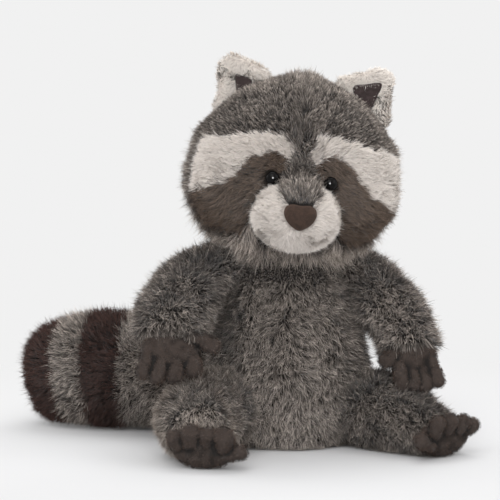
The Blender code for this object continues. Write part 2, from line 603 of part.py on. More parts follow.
def paw(name, centre, matrix, pad_halves, digits, parent=None):
    """A padded oval pad united with its digits; each digit is (start, middle, tip, radius)."""
    turns = np.linspace(0.0, 2.0 * math.pi, PAD_SIDES, endpoint=False)
    rings = []
    for lat in np.radians(PAD_LATITUDES):
        rings.append(np.stack([pad_halves[0] * math.cos(lat) * np.cos(turns),
                               np.full(PAD_SIDES, pad_halves[1] * math.sin(lat)),
                               pad_halves[2] * math.cos(lat) * np.sin(turns)], -1))
    vertices, faces = loft(rings, (0.0, -pad_halves[1], 0.0), (0.0, pad_halves[1], 0.0))
    vertices = placed(vertices, centre, matrix)
    vertices[:, 2] = np.maximum(vertices[:, 2], 0.0)
    body = add_solid(name, vertices, faces, "brown_suede", parent)
    for number, (start, middle, tip, radius) in enumerate(digits, 1):
        line = smooth_curve([start, middle, tip], DIGIT_ROWS)
        radii = radius * np.linspace(DIGIT_ROOT_SHARE, 1.0, DIGIT_ROWS)
        vertices, faces = tube(placed(line, centre, matrix), radii, DIGIT_SIDES, radius, radius,
                               on_floor=True, cap=DIGIT_CAP_ANGLES)
        unite(body, add_solid(name + "_digit_" + str(number), vertices, faces, None, parent))
    return body


def turn_matrix(pitch, roll, yaw):
    """Rotation matrix: pitch about X, then roll about Y, then yaw about Z."""
    return np.array(Euler((pitch, roll, yaw), 'XYZ').to_matrix())


def hand_digits(label):
    """Digits of a hand in its own frame: X to the outer side, -Y to the front, Z up."""
    side = SIDES[label]
    digits = []
    for root, tip, radius, drop in zip(FINGER_ROOTS[label], FINGER_TIPS[label], FINGER_RADII[label],
                                       FINGER_DROPS[label]):
        reach = drop - radius
        digits.append(((side * root, -1.5 * MM, -1.0 * MM),
                       (side * 0.5 * (root + tip), -3.2 * MM, -0.55 * reach),
                       (side * tip, -2.0 * MM, -reach), radius))
    (root, lift), (middle, bend), (tip, height) = THUMB_LINE[label]
    digits.append(((side * root, 0.0, lift), (side * middle, -1.5 * MM, bend),
                   (side * tip, -3.0 * MM, height), THUMB_RADIUS[label]))
    return digits


def foot_digits(label):
    """Digits of a foot in its own frame: X to the outer side, -Y out of the sole, Z up."""
    side = SIDES[label]
    digits = []
    for root, tip, radius, rise in zip(TOE_ROOTS[label], TOE_TIPS[label], TOE_RADII[label],
                                       TOE_RISES[label]):
        reach = rise - radius
        digits.append(((side * root, -2.0 * MM, -1.0 * MM), (side * 0.5 * (root + tip), -5.2 * MM, 0.5 * reach),
                       (side * tip, -TOE_CURL, reach), radius))
    (root, lift), (middle, bend), (tip, height) = BIG_TOE_LINE[label]
    digits.append(((side * root, 0.0, lift), (side * middle, -3.0 * MM, bend),
                   (side * tip, -5.0 * MM, height), BIG_TOE_RADIUS[label]))
    return digits


def build_torso(head_cutter):
    """Pear of stuffed fur cloth, dished where the head sits."""
    cut(add_solid("torso", *torso_form(0.0), "grey_fur"), head_cutter)


def build_head(pose):
    """Head with its inlaid face panels, muzzle, nose, eyes and washers; gives the head's clearance."""
    head = add_solid("head", *head_form(0.0), "grey_fur", pose)
    bridge_recess = bridge_form(GAP, CUT_MARGIN, -BRIDGE_THICKNESS - GAP)
    bridge_cutter = add_solid("bridge_recess", *bridge_recess, None, pose)
    cut(head, bridge_cutter)
    patches = {}
    for label in SIDES:
        brow_top, brow_bottom, patch_bottom = (
            curve + [end] for curve, end in zip((BROW_TOP, BROW_BOTTOM, PATCH_BOTTOM), SEAM_ENDS[label]))
        plate = face_panel((brow_top, brow_bottom), label, -0.5 * GAP, 0.0, -PANEL_THICKNESS)
        cut(add_solid("brow_panel_" + label, *plate, "cream_fur", pose), bridge_cutter)
        plate = face_panel((brow_bottom, patch_bottom), label, -0.5 * GAP, 0.0, -PANEL_THICKNESS)
        patches[label] = add_solid("eye_patch_" + label, *plate, "brown_fur", pose)
        cut(patches[label], bridge_cutter)
        recess = face_panel((brow_top, brow_bottom, patch_bottom), label, 0.5 * GAP, CUT_MARGIN,
                            -PANEL_THICKNESS - GAP)
        cut(head, add_solid("face_recess_" + label, *recess, None, pose))
    muzzle = add_solid("muzzle", *muzzle_form(), "cream_fur", pose)
    head_cutter = add_solid("head_clearance", *head_form(GAP), None, pose)
    cut(muzzle, head_cutter, bridge_cutter)
    bridge = add_solid("nose_bridge", *bridge_form(0.0, 0.0, -BRIDGE_THICKNESS), "grey_fur", pose)
    add_solid("nose", *nose_form(0.0, NOSE_CROWN, NOSE_EDGE, NOSE_INLAY), "nose_suede", pose)
    nose_cutter = nose_form(GAP, CUT_MARGIN, CUT_MARGIN, NOSE_INLAY + GAP)
    nose_recess = add_solid("nose_recess", *nose_cutter, None, pose)
    cut(muzzle, nose_recess)
    cut(bridge, nose_recess)
    for label in SIDES:
        centre, look = eye_place(label)
        add_solid("eye_" + label, *lathe(eye_profile(0.0), centre, look), "black_plastic", pose)
        socket = add_solid("eye_socket_" + label, *lathe(eye_profile(GAP), centre, look), None, pose)
        for solid in (head, patches[label], bridge, muzzle):
            cut(solid, socket)
        build_washer(label, centre, look, head, pose)
    return head_cutter


def build_washer(label, centre, look, head, pose):
    """Locking washer on the eye's shank, with the pocket in the stuffing that it lies in."""
    inner, outer = -WASHER_DEPTH - WASHER_THICKNESS, -WASHER_DEPTH
    disc = [(inner, 0.0), (inner, WASHER_RADIUS), (outer, WASHER_RADIUS), (outer, 0.0)]
    washer = add_solid("eye_washer_" + label, *lathe(disc, centre, look), "white_plastic", pose)
    bore = [(inner - CUT_MARGIN, 0.0), (inner - CUT_MARGIN, SHANK_RADIUS + GAP),
            (outer + CUT_MARGIN, SHANK_RADIUS + GAP), (outer + CUT_MARGIN, 0.0)]
    cut(washer, add_solid("washer_bore_" + label, *lathe(bore, centre, look), None, pose))
    pocket = [(inner - GAP, 0.0), (inner - GAP, WASHER_RADIUS + GAP), (outer + GAP, WASHER_RADIUS + GAP),
              (outer + GAP, 0.0)]
    cut(head, add_solid("washer_pocket_" + label, *lathe(pocket, centre, look), None, pose))


def build_ears(pose, head_cutter):
    """Cupped ears with their suede linings, seated on the head."""
    for label in SIDES:
        ear = add_solid("ear_" + label, *ear_form(label), "cream_fur", pose)
        lining = add_solid("ear_lining_" + label, *lining_form(label, 0.0, LINING_PROUD, LINING_THICKNESS),
                           "ear_suede", pose)
        recess = add_solid("ear_recess_" + label,
                           *lining_form(label, GAP, CUT_MARGIN, LINING_THICKNESS + GAP), None, pose)
        cut(ear, recess, head_cutter)
        cut(lining, head_cutter)


def build_arms(torso_cutter, head_cutter, leg_cutters):
    """Sleeves seated on the torso's shoulders, and the hands in their cuffs, resting over the legs."""
    for label in SIDES:
        spine = smooth_curve(ARM_SPINE[label], LIMB_ROWS)
        radii = smooth_curve([(radius,) for radius in ARM_RADII[label]], LIMB_ROWS)[:, 0]
        shape = (spine, radii, LIMB_SIDES, radii[0], CUFF_ROUNDING)
        arm = add_solid("arm_" + label, *tube(*shape), "grey_fur")
        cut(arm, torso_cutter, head_cutter)
        cuff = add_solid("cuff_clearance_" + label, *tube(*shape, grow=GAP), None)
        centre, lean, swing = HAND_PLACE[label]
        matrix = turn_matrix(lean, swing, 0.0)
        hand = paw("hand_" + label, centre, matrix, PALM_HALVES[label], hand_digits(label))
        cut(hand, cuff, leg_cutters[label])
        cut(arm, leg_cutters[label])


def build_legs(torso_cutter):
    """Legs seated on the torso's lower sides, and the feet at their ends; gives the legs' clearances."""
    clearances = {}
    for label, side in SIDES.items():
        spine = smooth_curve(LEG_SPINE[label], LIMB_ROWS)
        radii = smooth_curve([(radius,) for radius in LEG_RADII[label]], LIMB_ROWS)[:, 0]
        shape = (spine, radii, LIMB_SIDES, radii[0], ANKLE_ROUNDING)
        leg = add_solid("leg_" + label, *tube(*shape, on_floor=True), "grey_fur")
        cut(leg, torso_cutter)
        clearance = tube(*shape, grow=GAP, on_floor=True)
        clearances[label] = add_solid("leg_clearance_" + label, *clearance, None)
        matrix = turn_matrix(FOOT_LEAN, 0.0, side * FOOT_SPLAY)
        foot = paw("foot_" + label, np.array(FOOT_PLACE) * (side, 1.0, 1.0), matrix, SOLE_HALVES[label],
                   foot_digits(label))
        cut(foot, clearances[label])
    return clearances


def build_tail(torso_cutter):
    """Four sewn bands of one fat tube; the seams between them stand square to its middle line."""
    spine = smooth_curve(TAIL_SPINE, TAIL_ROWS)
    radii = smooth_curve([(radius,) for radius in TAIL_RADII], TAIL_ROWS)[:, 0]
    tangents = np.gradient(spine, axis=0)
    tangents /= np.linalg.norm(tangents, axis=1)[:, None]
    rows = np.arange(TAIL_ROWS)
    seams = list(np.interp([-x for x in TAIL_SEAMS], -spine[:, 0], rows))
    for (name, material), start, end in zip(TAIL_BANDS.items(), [0.0] + seams, seams + [rows[-1]]):
        places = np.linspace(start, end, TAIL_RINGS_PER_BAND)
        centres, along, widths = (
            np.stack([np.interp(places, rows, column) for column in np.atleast_2d(values.T)], -1)
            for values in (spine, tangents, radii))
        if start > 0.0:
            centres[0] += 0.5 * GAP * along[0]
        if end < rows[-1]:
            centres[-1] -= 0.5 * GAP * along[-1]
        closing = TAIL_END_ROUNDING if end == rows[-1] else 0.0
        solid = add_solid(name, *band(centres, along, widths, closing), material)
        if start == 0.0:
            cut(solid, torso_cutter)


def band(centres, along, radii, closing):
    """Closed tube with flat ends, or with a blunt end that closes over the given length."""
    turns = np.linspace(0.0, 2.0 * math.pi, TAIL_SIDES, endpoint=False)
    across = np.cross(along, (0.0, 0.0, 1.0))
    across /= np.linalg.norm(across, axis=1)[:, None]
    lift = np.cross(across, along)

    def ring(row, distance, radius):
        circle = np.cos(turns)[:, None] * across[row] + np.sin(turns)[:, None] * lift[row]
        return centres[row] + along[row] * distance + radius * circle

    rings = [ring(row, 0.0, radii[row, 0]) for row in range(len(centres))]
    if closing:
        for angle in np.radians(TAIL_CAP_ANGLES):
            radius = radii[-1, 0] * math.cos(angle) ** TAIL_CAP_POWER
            rings.append(ring(-1, closing * math.sin(angle), radius))
    rings = np.array(rings)
    rings[..., 2] = np.maximum(rings[..., 2], 0.0)
    return loft(rings, centres[0], centres[-1] + along[-1] * closing)


def main():
    """Clears the scene and builds every piece; the head's pieces share one tilted frame."""
    for old in list(bpy.data.objects):
        bpy.data.objects.remove(old, do_unlink=True)
    pose = bpy.data.objects.new("head_pose", None)
    pose.location = HEAD_CENTRE
    pose.rotation_euler = Euler((0.0, HEAD_ROLL, HEAD_YAW), 'XYZ')
    bpy.context.collection.objects.link(pose)
    head_cutter = build_head(pose)
    build_ears(pose, head_cutter)
    build_torso(head_cutter)
    torso_cutter = add_solid("torso_clearance", *torso_form(GAP), None)
    leg_cutters = build_legs(torso_cutter)
    build_arms(torso_cutter, head_cutter, leg_cutters)
    build_tail(torso_cutter)


main()
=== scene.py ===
"""Looks of the seated plush raccoon: pile fur, suede paws, nose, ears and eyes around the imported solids."""
import math

import bpy
import numpy as np
from bpy.props import FloatProperty, FloatVectorProperty, IntProperty, PointerProperty
from mathutils import Euler, Matrix, Vector


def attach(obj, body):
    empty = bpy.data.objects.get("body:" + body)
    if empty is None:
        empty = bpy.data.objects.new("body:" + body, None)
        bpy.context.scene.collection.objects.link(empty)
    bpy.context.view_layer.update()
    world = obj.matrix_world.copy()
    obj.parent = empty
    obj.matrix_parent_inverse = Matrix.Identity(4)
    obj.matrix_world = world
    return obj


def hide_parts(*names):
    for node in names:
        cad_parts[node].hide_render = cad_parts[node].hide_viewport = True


bl_info = {
    "name": "Plush Raccoon",
    "version": (1, 0, 0),
    "blender": (4, 5, 0),
    "location": "View3D > Sidebar > Plush",
    "description": "Dresses the solids of a seated plush raccoon in pile fur and suede",
    "category": "Object",
}

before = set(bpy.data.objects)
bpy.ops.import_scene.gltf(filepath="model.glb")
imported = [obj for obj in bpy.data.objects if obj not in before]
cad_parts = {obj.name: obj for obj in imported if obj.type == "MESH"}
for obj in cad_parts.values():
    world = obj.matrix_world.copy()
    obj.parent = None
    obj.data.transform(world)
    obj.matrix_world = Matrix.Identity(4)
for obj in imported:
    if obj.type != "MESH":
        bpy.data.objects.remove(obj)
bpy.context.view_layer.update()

MM = 0.001
SIDES = {"left": 1.0, "right": -1.0}
FLOOR_CLEARANCE = 0.3 * MM


def per_side(right, left):
    """Lengths of both sides in metres, from millimetres."""
    return {"right": np.array(right) * MM, "left": np.array(left) * MM}


# ---------------------------------------------------------------------------------------------
# The toy's forms, from the same numbers as its solids: the middle of the pile
# ---------------------------------------------------------------------------------------------

# (height, half width, half depth) of the torso's sections
TORSO_SECTIONS = np.array([(0, 44, 41), (6, 50, 47), (24, 55, 52), (50, 54, 52), (80, 48, 46),
                           (108, 40, 37), (128, 30, 28)]) * MM
TORSO_TOP = 139.2 * MM
NECK_HEIGHTS = (102 * MM, 115 * MM)
BELLY_HEIGHTS = (60 * MM, 20 * MM)

HEAD_CENTRE = np.array((4, 2, 180)) * MM
HEAD_TURN = np.array(Euler((0.0, math.radians(6.0), math.radians(-11.2)), 'XYZ').to_matrix())
HEAD_HALF_WIDTH = 69 * MM
HEAD_HALF_DEPTH = 59 * MM
HEAD_CROWN = 64 * MM
HEAD_CHIN = 61 * MM

# Face panels as (longitude, latitude) in degrees on the head
BROW_TOP = [(4.4, 6.4), (4.8, 15.5), (9.2, 22), (20.4, 23.5), (33, 21.5), (50, 18.5)]
BROW_BOTTOM = [(6, 6), (9.6, 10.8), (17, 13), (24, 10.3), (30.4, 3.8), (38.5, -5.5), (52, -13.5)]
PATCH_BOTTOM = [(7.2, 6.2), (8.4, 1.6), (15.2, -6.8), (20, -11), (24.4, -19.6), (27, -31), (36, -43),
                (53, -47.5), (74, -44)]
SEAM_ENDS = {"right": ((74, 15.5), (76, -20), (90, -33)), "left": ((96, 13), (96, -26), (100, -36))}

MUZZLE_CENTRE = np.array((0, -52, -27)) * MM
MUZZLE_HALF_WIDTH = 28.5 * MM
MUZZLE_HALF_HEIGHT = 25.5 * MM
MUZZLE_REACH = 31 * MM
MUZZLE_LIFT = 2.5 * MM
BRIDGE_TOP = 5 * MM
BRIDGE_BOTTOM = -18.5 * MM
BRIDGE_HALF_WIDTHS = np.array([5.2, 9.5, 12.5, 11.8, 7.0]) * MM
FACE_SOFTNESS = 3 * MM
NOSE_HEIGHT = -24.5 * MM
NOSE_OUTLINE = np.array([(0, 7.2), (5.5, 7.6), (9.4, 5.8), (10.5, 1.6), (8.2, -3.4), (4, -7), (0, -8.6)]) * MM

# The ears' outlines, outwards and upwards from the ear's centre
EAR_CENTRE = np.array((43, 52)) * MM
EAR_OUTLINE = np.array([(14, -21), (16.5, -5), (16.5, 10), (12.5, 19), (3.5, 21), (-8, 17.5), (-22.5, 8.5),
                        (-19, -12), (-3, -26)]) * MM
EAR_HINGE = -22.5 * MM
EAR_SPREAD = {"right": 0.94, "left": 1.06}
EAR_PLANE = 3 * MM
EAR_HALF_THICKNESS = 6 * MM
EAR_CUP = 5 * MM
EAR_CUP_RADIUS = 14 * MM
LINING_OUTLINE = per_side(
    [(2.8, 6.8), (-2, 6), (-7.5, 4.6), (-8.6, 0.6), (-5, -7), (-1, -11), (2.2, -2)],
    [(7.5, 10.5), (-0.5, 9.5), (-10, 6.5), (-6.5, -3), (0, -11), (5, -1)])

EYE_LONGITUDE = {"right": 14.6, "left": 15.9}
EYE_LATITUDE = -3.0
EYE_CLEARING = 6.9 * MM
EYE_LIFT = 0.7 * MM

ARM_SPINE = per_side(
    [(-37, 8, 119), (-59.5, -3, 110.5), (-78, -19.5, 98), (-87.5, -30, 86), (-90, -35.5, 76.5)],
    [(36, 8, 115), (53, -4, 104), (61.5, -24, 90), (68.5, -37, 76), (69.5, -45, 64)])
ARM_RADII = per_side([16, 20, 23, 23.2, 23], [16, 20, 21, 20.5, 20])
CUFF_ROUNDING = 5 * MM
HAND_PLACE = {
    "right": (np.array((-91.8, -46.7, 67.9)) * MM, math.radians(-16.0), math.radians(7.0)),
    "left": (np.array((69.5, -54.7, 57.9)) * MM, math.radians(-30.0), math.radians(-13.0)),
}
PALM_HALVES = per_side((19, 8.5, 12), (15.5, 8.5, 12.5))
FINGER_ROOTS = per_side([-13.4, -2.9, 6.9, 14.6], [-10.1, -3.3, 3.2, 9.5])
FINGER_TIPS = per_side([-15.5, -3.4, 8.2, 18.0], [-13.3, -5.8, 1.4, 9.8])
FINGER_RADII = per_side([5.0, 4.9, 4.6, 3.9], [4.7, 4.0, 4.0, 4.2])
FINGER_DROPS = per_side([15.6, 19.6, 20.9, 18.0], [18.0, 21.6, 23.7, 22.8])
FINGER_BEND = (-1.5 * MM, -1 * MM, -3.2 * MM, 0.55, -2 * MM)
THUMB_LINE = per_side([(-8, 0, 8), (-17.5, -1.5, 10.5), (-26.6, -3, 6.2)],
                      [(-5, 0, 5.5), (-11, -1.5, 6), (-18.2, -3, 3.6)])
THUMB_RADIUS = per_side(4.9, 4.6)

LEG_SPINE = per_side([(-28, -8, 24), (-58, -30, 26), (-76, -52, 25), (-80, -75, 22.5)],
                     [(28, -12, 24), (50, -43, 23), (65.5, -65, 17), (75, -79, 12.5)])
LEG_RADII = per_side([24, 26, 25.5, 21], [24, 26, 22, 18])
ANKLE_ROUNDING = 12 * MM
FOOT_PLACE = np.array((79.5, -88.5, 13.5)) * MM
FOOT_SPLAY = math.radians(24.0)
FOOT_LEAN = math.radians(12.0)
SOLE_HALVES = per_side((20, 8, 13.2), (18.5, 8, 13.2))
TOE_ROOTS = per_side([-12.2, -2.4, 8.0, 16.4], [-14.2, -4.2, 4.6, 11.5])
TOE_TIPS = per_side([-13.7, -3.0, 7.7, 17.9], [-14.1, -2.8, 8.4, 16.9])
TOE_RADII = per_side([6.1, 4.6, 5.5, 4.5], [4.7, 4.6, 4.6, 4.4])
TOE_RISES = per_side([15.5, 15.7, 17.0, 13.6], [16.6, 17.2, 15.5, 12.3])
TOE_BEND = (0.0, 1 * MM, -4.4 * MM, 0.55, -6 * MM)
BIG_TOE_LINE = per_side([(-8, 0, -3), (-15.4, -3, -2.7), (-23.4, -5, -0.6)],
                        [(-8, 0, -4), (-16.5, -3, -3.2), (-25.5, -5, 1.6)])
BIG_TOE_RADIUS = per_side(4.2, 4.4)

TAIL_SPINE = np.array([(2, 44, 34), (-40, 59, 37), (-84, 70, 39), (-114, 84, 39), (-139.5, 98, 36)]) * MM
TAIL_RADII = np.array([28, 35, 38.5, 39, 33]) * MM
TAIL_END_ROUNDING = 17 * MM
TAIL_BLUNTNESS = 0.8
TAIL_SEAMS = (-92.5 * MM, -112.5 * MM, -129 * MM)

# Name, place, width and power of each lamp; the last makes the eyes' highlights alone
LAMPS = (("key", (-0.8, -1.45, 1.6), 1.6, 22.0), ("fill", (1.3, -1.1, 0.9), 1.2, 7.0),
         ("top", (0.15, 0.45, 1.6), 1.3, 9.0), ("rim left", (-1.3, 1.0, 0.7), 0.9, 6.0),
         ("rim right", (1.3, 1.0, 0.7), 0.9, 6.0), ("spark", (-0.42, -1.4, 0.36), 0.5, 70.0))
LAMPS_AIM = (0.0, 0.0, 0.12)
CAMERA_PLACE = (-0.43303, -1.51771, 0.29252)
CAMERA_AZIMUTH = math.radians(15.0)
CAMERA_RISE = math.radians(6.0)
SENSOR_WIDTH = 36.0
FOCAL_PIXELS = 2388.0
PICTURE_PIXELS = 500.0


def paint(red, green, blue):
    """Linear colour of a shade written as 0 to 255 per channel."""
    shade = np.array((red, green, blue)) / 255.0
    return tuple(np.where(shade <= 0.04045, shade / 12.92, ((shade + 0.055) / 1.055) ** 2.4))


class PlushPile(bpy.types.PropertyGroup):
    """Lengths of the fur cloth's pile."""

    pile: FloatProperty(name="Pile", description="Length of the long fur's strands", default=9.0 * MM,
                        min=2.0 * MM, max=20.0 * MM, unit='LENGTH')
    short_pile: FloatProperty(name="Short pile", description="Length of the cream fur's strands",
                              default=5.0 * MM, min=1.0 * MM, max=12.0 * MM, unit='LENGTH')
    ear_pile: FloatProperty(name="Ear pile", description="Length of the ears' strands", default=3.6 * MM,
                            min=1.0 * MM, max=12.0 * MM, unit='LENGTH')
    skin_depth: FloatProperty(name="Cloth depth", description="How far the cloth lies below the solids",
                              default=4.5 * MM, min=0.5 * MM, max=8.0 * MM, unit='LENGTH')
    width: FloatProperty(name="Strand width", description="Width of a strand at its middle",
                         default=0.36 * MM, min=0.1 * MM, max=2.0 * MM, unit='LENGTH')
    tuft: FloatProperty(name="Tuft", description="Distance between the tufts that strands gather in",
                        default=2.5 * MM, min=0.5 * MM, max=12.0 * MM, unit='LENGTH')
    nap: FloatProperty(name="Nap", description="Length of the suede's fibres", default=1.1 * MM,
                       min=0.2 * MM, max=4.0 * MM, unit='LENGTH')
    nap_density: FloatProperty(name="Nap density", description="Fibres per square millimetre of suede",
                               default=2.2, min=0.1, max=8.0)
    density: FloatProperty(name="Density", description="Strands per square millimetre of cloth", default=2.35,
                           min=0.1, max=6.0)
    seed: IntProperty(name="Seed", description="Start of the random draws", default=11, min=0)


def colour_setting(name, description, red, green, blue):
    """A colour that a user can change, with its default written as 0 to 255 per channel."""
    return FloatVectorProperty(name=name, description=description, subtype='COLOR',
                               default=paint(red, green, blue), min=0.0, max=1.0)


class PlushColours(bpy.types.PropertyGroup):
    """Colours of the fur, the suede and the hard pieces."""

    grey_root: colour_setting("Grey root", "Grey fur at the cloth", 34, 30, 28)
    grey_middle: colour_setting("Grey middle", "Grey fur halfway up", 98, 90, 84)
    grey_tip: colour_setting("Grey tip", "Grey fur at its tips", 200, 189, 179)
    cream_root: colour_setting("Cream root", "Cream fur at the cloth", 212, 203, 196)
    cream_tip: colour_setting("Cream tip", "Cream fur at its tips", 240, 233, 226)
    # Painted light: the ears' tip colour is the cream fur's painted lighter, against the shade among the
    # ears' strands.
    ear_tip_painted_lighter: colour_setting("Ear tip", "Ears' fur at its tips", 252, 245, 237)
    brown_root: colour_setting("Brown root", "Eye patches' fur at the cloth", 44, 36, 30)
    brown_tip: colour_setting("Brown tip", "Eye patches' fur at its tips", 108, 92, 80)
    band_root: colour_setting("Band root", "Dark tail bands' fur at the cloth", 20, 14, 12)
    band_tip: colour_setting("Band tip", "Dark tail bands' fur at its tips", 72, 48, 41)
    suede: colour_setting("Suede", "Hands and feet", 44, 35, 30)
    ear_suede: colour_setting("Ear suede", "Linings of the ears", 58, 46, 45)
    nose_suede: colour_setting("Nose suede", "The nose", 56, 40, 31)
    backdrop: colour_setting("Backdrop", "Background and far floor", 241, 241, 241)
    floor: colour_setting("Floor", "Floor around the toy", 224, 224, 225)
    # Painted light: the ears' root colour is the cream fur's painted lighter, against the shade among the
    # ears' strands.
    ear_root_painted_lighter: colour_setting("Ear root", "Ears' fur at the cloth", 236, 227, 219)


class PlushFeatures(bpy.types.PropertyGroup):
    """Sizes of the face's hard and padded features."""

    eye_radius: FloatProperty(name="Eye radius", description="Radius of an eye's dome", default=4.6 * MM,
                              min=1.0 * MM, max=10.0 * MM, unit='LENGTH')
    eye_height: FloatProperty(name="Eye height", description="How far an eye's dome stands out",
                              default=4.0 * MM, min=1.0 * MM, max=10.0 * MM, unit='LENGTH')
    nose_crown: FloatProperty(name="Nose crown", description="Height of the nose's middle", default=3.4 * MM,
                              min=0.5 * MM, max=8.0 * MM, unit='LENGTH')
    paw_voxel: FloatProperty(name="Paw voxel", description="Grid that a paw's forms are joined on",
                             default=0.76 * MM, min=0.3 * MM, max=3.0 * MM, unit='LENGTH')


# ---------------------------------------------------------------------------------------------
# Mathematics of the forms
# ---------------------------------------------------------------------------------------------

def unit(vectors):
    """Vectors divided by their lengths."""
    return vectors / np.maximum(np.linalg.norm(vectors, axis=-1, keepdims=True), 1e-12)


def smooth_curve(points, count, closed=False):
    """Catmull-Rom curve through the points, read at even steps of its parameter.

    Between two points it is the cubic whose slope at each is half the chord of its neighbours.
    """
    points = np.asarray(points, float)
    last = len(points) if closed else len(points) - 1
    place = np.linspace(0.0, last, count, endpoint=not closed)
    index = np.minimum(place.astype(int), last - 1)
    t = (place - index)[:, None]
    if closed:
        p0, p1, p2, p3 = (points[(index + step) % len(points)] for step in (-1, 0, 1, 2))
    else:
        longer = np.concatenate([[2 * points[0] - points[1]], points, [2 * points[-1] - points[-2]]])
        p0, p1, p2, p3 = (longer[index + step] for step in (0, 1, 2, 3))
    return 0.5 * (2 * p1 + (p2 - p0) * t + (2 * p0 - 5 * p1 + 4 * p2 - p3) * t**2
                  + (3 * p1 - p0 - 3 * p2 + p3) * t**3)


def waves(points, length, seed, count=7):
    """Smooth noise from -1 to 1 or so: a sum of plane sine waves of about one length, each way at random."""
    rng = np.random.default_rng(seed)
    directions = unit(rng.normal(size=(count, 3))) * rng.uniform(0.7, 1.4, (count, 1)) * 2 * math.pi / length
    phases = rng.uniform(0, 2 * math.pi, count)
    return np.sin(points @ directions.T + phases).sum(-1) / math.sqrt(count / 1.6)


def wave_vectors(points, length, seed):
    """Smooth random vectors: three fields of waves."""
    return np.stack([waves(points, length, seed + axis) for axis in range(3)], -1)


def to_head(points):
    """Places of the toy in the head's own frame."""
    return (points - HEAD_CENTRE) @ HEAD_TURN


def from_head(points):
    """Places of the head's own frame on the toy."""
    return points @ HEAD_TURN.T + HEAD_CENTRE


def head_profile(latitude):
    """Share of the head's half width and depth at a latitude, and the cheeks' swelling of its width.

    The share is the cosine, raised to 0.9 below the equator; the swelling is a bell curve at -25 degrees.
    """
    lat = np.radians(latitude)
    around = np.abs(np.cos(lat)) ** np.where(lat < 0.0, 0.9, 1.0)
    return around, 1.0 + 0.08 * np.exp(-((np.asarray(latitude) + 25.0) / 20.0) ** 2)


def head_point(longitude, latitude, grow=0.0):
    """Point of the head in its own frame: an ellipsoid with boxier jowls and swollen cheeks."""
    lon, lat = np.radians(longitude), np.radians(latitude)
    around, cheek = head_profile(latitude)
    height = np.where(lat < 0.0, HEAD_CHIN, HEAD_CROWN)
    return np.stack([(HEAD_HALF_WIDTH + grow) * around * np.sin(lon) * cheek,
                     -(HEAD_HALF_DEPTH + grow) * around * np.cos(lon),
                     (height + grow) * np.sin(lat) * np.ones_like(lon)], -1)


def head_angles(local, grow=0.0):
    """Longitude and latitude, in degrees, of points near the head's surface, the inverse of head_point."""
    height = np.where(local[:, 2] < 0.0, HEAD_CHIN, HEAD_CROWN) + grow
    latitude = np.degrees(np.arcsin(np.clip(local[:, 2] / height, -1.0, 1.0)))
    _, cheek = head_profile(latitude)
    return np.degrees(np.arctan2(local[:, 0] / cheek / (HEAD_HALF_WIDTH + grow),
                                 -local[:, 1] / (HEAD_HALF_DEPTH + grow))), latitude


def head_front(x, z):
    """Depth (-Y) of the head's front at a place of the face."""
    height = np.where(z < 0.0, HEAD_CHIN, HEAD_CROWN)
    latitude = np.degrees(np.arcsin(np.clip(z / height, -1.0, 1.0)))
    around, _ = head_profile(latitude)
    return HEAD_HALF_DEPTH * around * np.sqrt(np.maximum(1.0 - (x / (HEAD_HALF_WIDTH * around)) ** 2, 0.0))


def muzzle_share(x, z):
    """Squared share of the way from the muzzle's middle to its rim, at a place of the face."""
    return (x / MUZZLE_HALF_WIDTH) ** 2 + ((z - MUZZLE_CENTRE[2]) / MUZZLE_HALF_HEIGHT) ** 2


def muzzle_front(x, z):
    """Depth (-Y) of the muzzle's front at a place of the face: half an ellipsoid."""
    return -MUZZLE_CENTRE[1] + MUZZLE_REACH * np.sqrt(np.maximum(1.0 - muzzle_share(x, z), 0.0))


def face_front(x, z):
    """Depth of the dressed face: the head and the muzzle, with a soft step between them."""
    head, muzzle = head_front(x, z), muzzle_front(x, z)
    return 0.5 * (head + muzzle + np.sqrt((head - muzzle) ** 2 + FACE_SOFTNESS**2))


def bridge_half_width(z):
    """Half width of the grey strip over the nose at a height; none outside the strip."""
    share = (BRIDGE_TOP - z) / (BRIDGE_TOP - BRIDGE_BOTTOM)
    width = np.interp(share, np.linspace(0.0, 1.0, len(BRIDGE_HALF_WIDTHS)), BRIDGE_HALF_WIDTHS)
    return np.where((share >= 0.0) & (share <= 1.0), width, 0.0)


def nose_loop(count):
    """Closed outline of the nose around its middle."""
    other = NOSE_OUTLINE[-2:0:-1] * (-1, 1)
    return smooth_curve(np.concatenate([NOSE_OUTLINE, other]), count, closed=True)


def within(x, y, outline):
    """Whether points lie in an outline: a ray from the point crosses it an odd number of times."""
    x0, y0 = np.asarray(outline, float).T[:, :, None]
    x1, y1 = np.roll(outline, -1, axis=0).T[:, :, None]
    crosses = (y0 > y) != (y1 > y)
    with np.errstate(divide='ignore', invalid='ignore'):
        crosses &= x < (x1 - x0) * (y - y0) / (y1 - y0) + x0
    return crosses.sum(0) % 2 == 1


def ear_faces(spoke):
    """Depths of the ear's front and back at places of its plane, as offsets from its centre.

    The plate thins to its rim as the square root of one less the cube of the share of
    the way out, and a bell curve around the middle hollows its front.
    """
    rim = smooth_curve(EAR_OUTLINE, 160, closed=True)
    turns = np.arctan2(rim[:, 1], rim[:, 0])
    order = np.argsort(turns)
    distance = np.linalg.norm(spoke, axis=-1)
    reach = np.interp(np.arctan2(spoke[..., 1], spoke[..., 0]), turns[order],
                      np.linalg.norm(rim, axis=1)[order], period=2 * math.pi)
    thin = EAR_HALF_THICKNESS * np.sqrt(np.maximum(1.0 - (distance / reach) ** 3, 0.0))
    hollow = EAR_CUP * np.exp(-(distance / EAR_CUP_RADIUS) ** 2)
    return EAR_PLANE - thin + hollow, EAR_PLANE + thin


def on_ear(label, spoke, depth):
    """Places on the toy of an ear's offsets in its plane and depths; its hinge stays put as it spreads."""
    out = EAR_HINGE + (spoke[..., 0] - EAR_HINGE) * EAR_SPREAD[label]
    across, height = SIDES[label] * (EAR_CENTRE[0] + out), EAR_CENTRE[1] + spoke[..., 1]
    return from_head(np.stack([across, depth, height], -1))


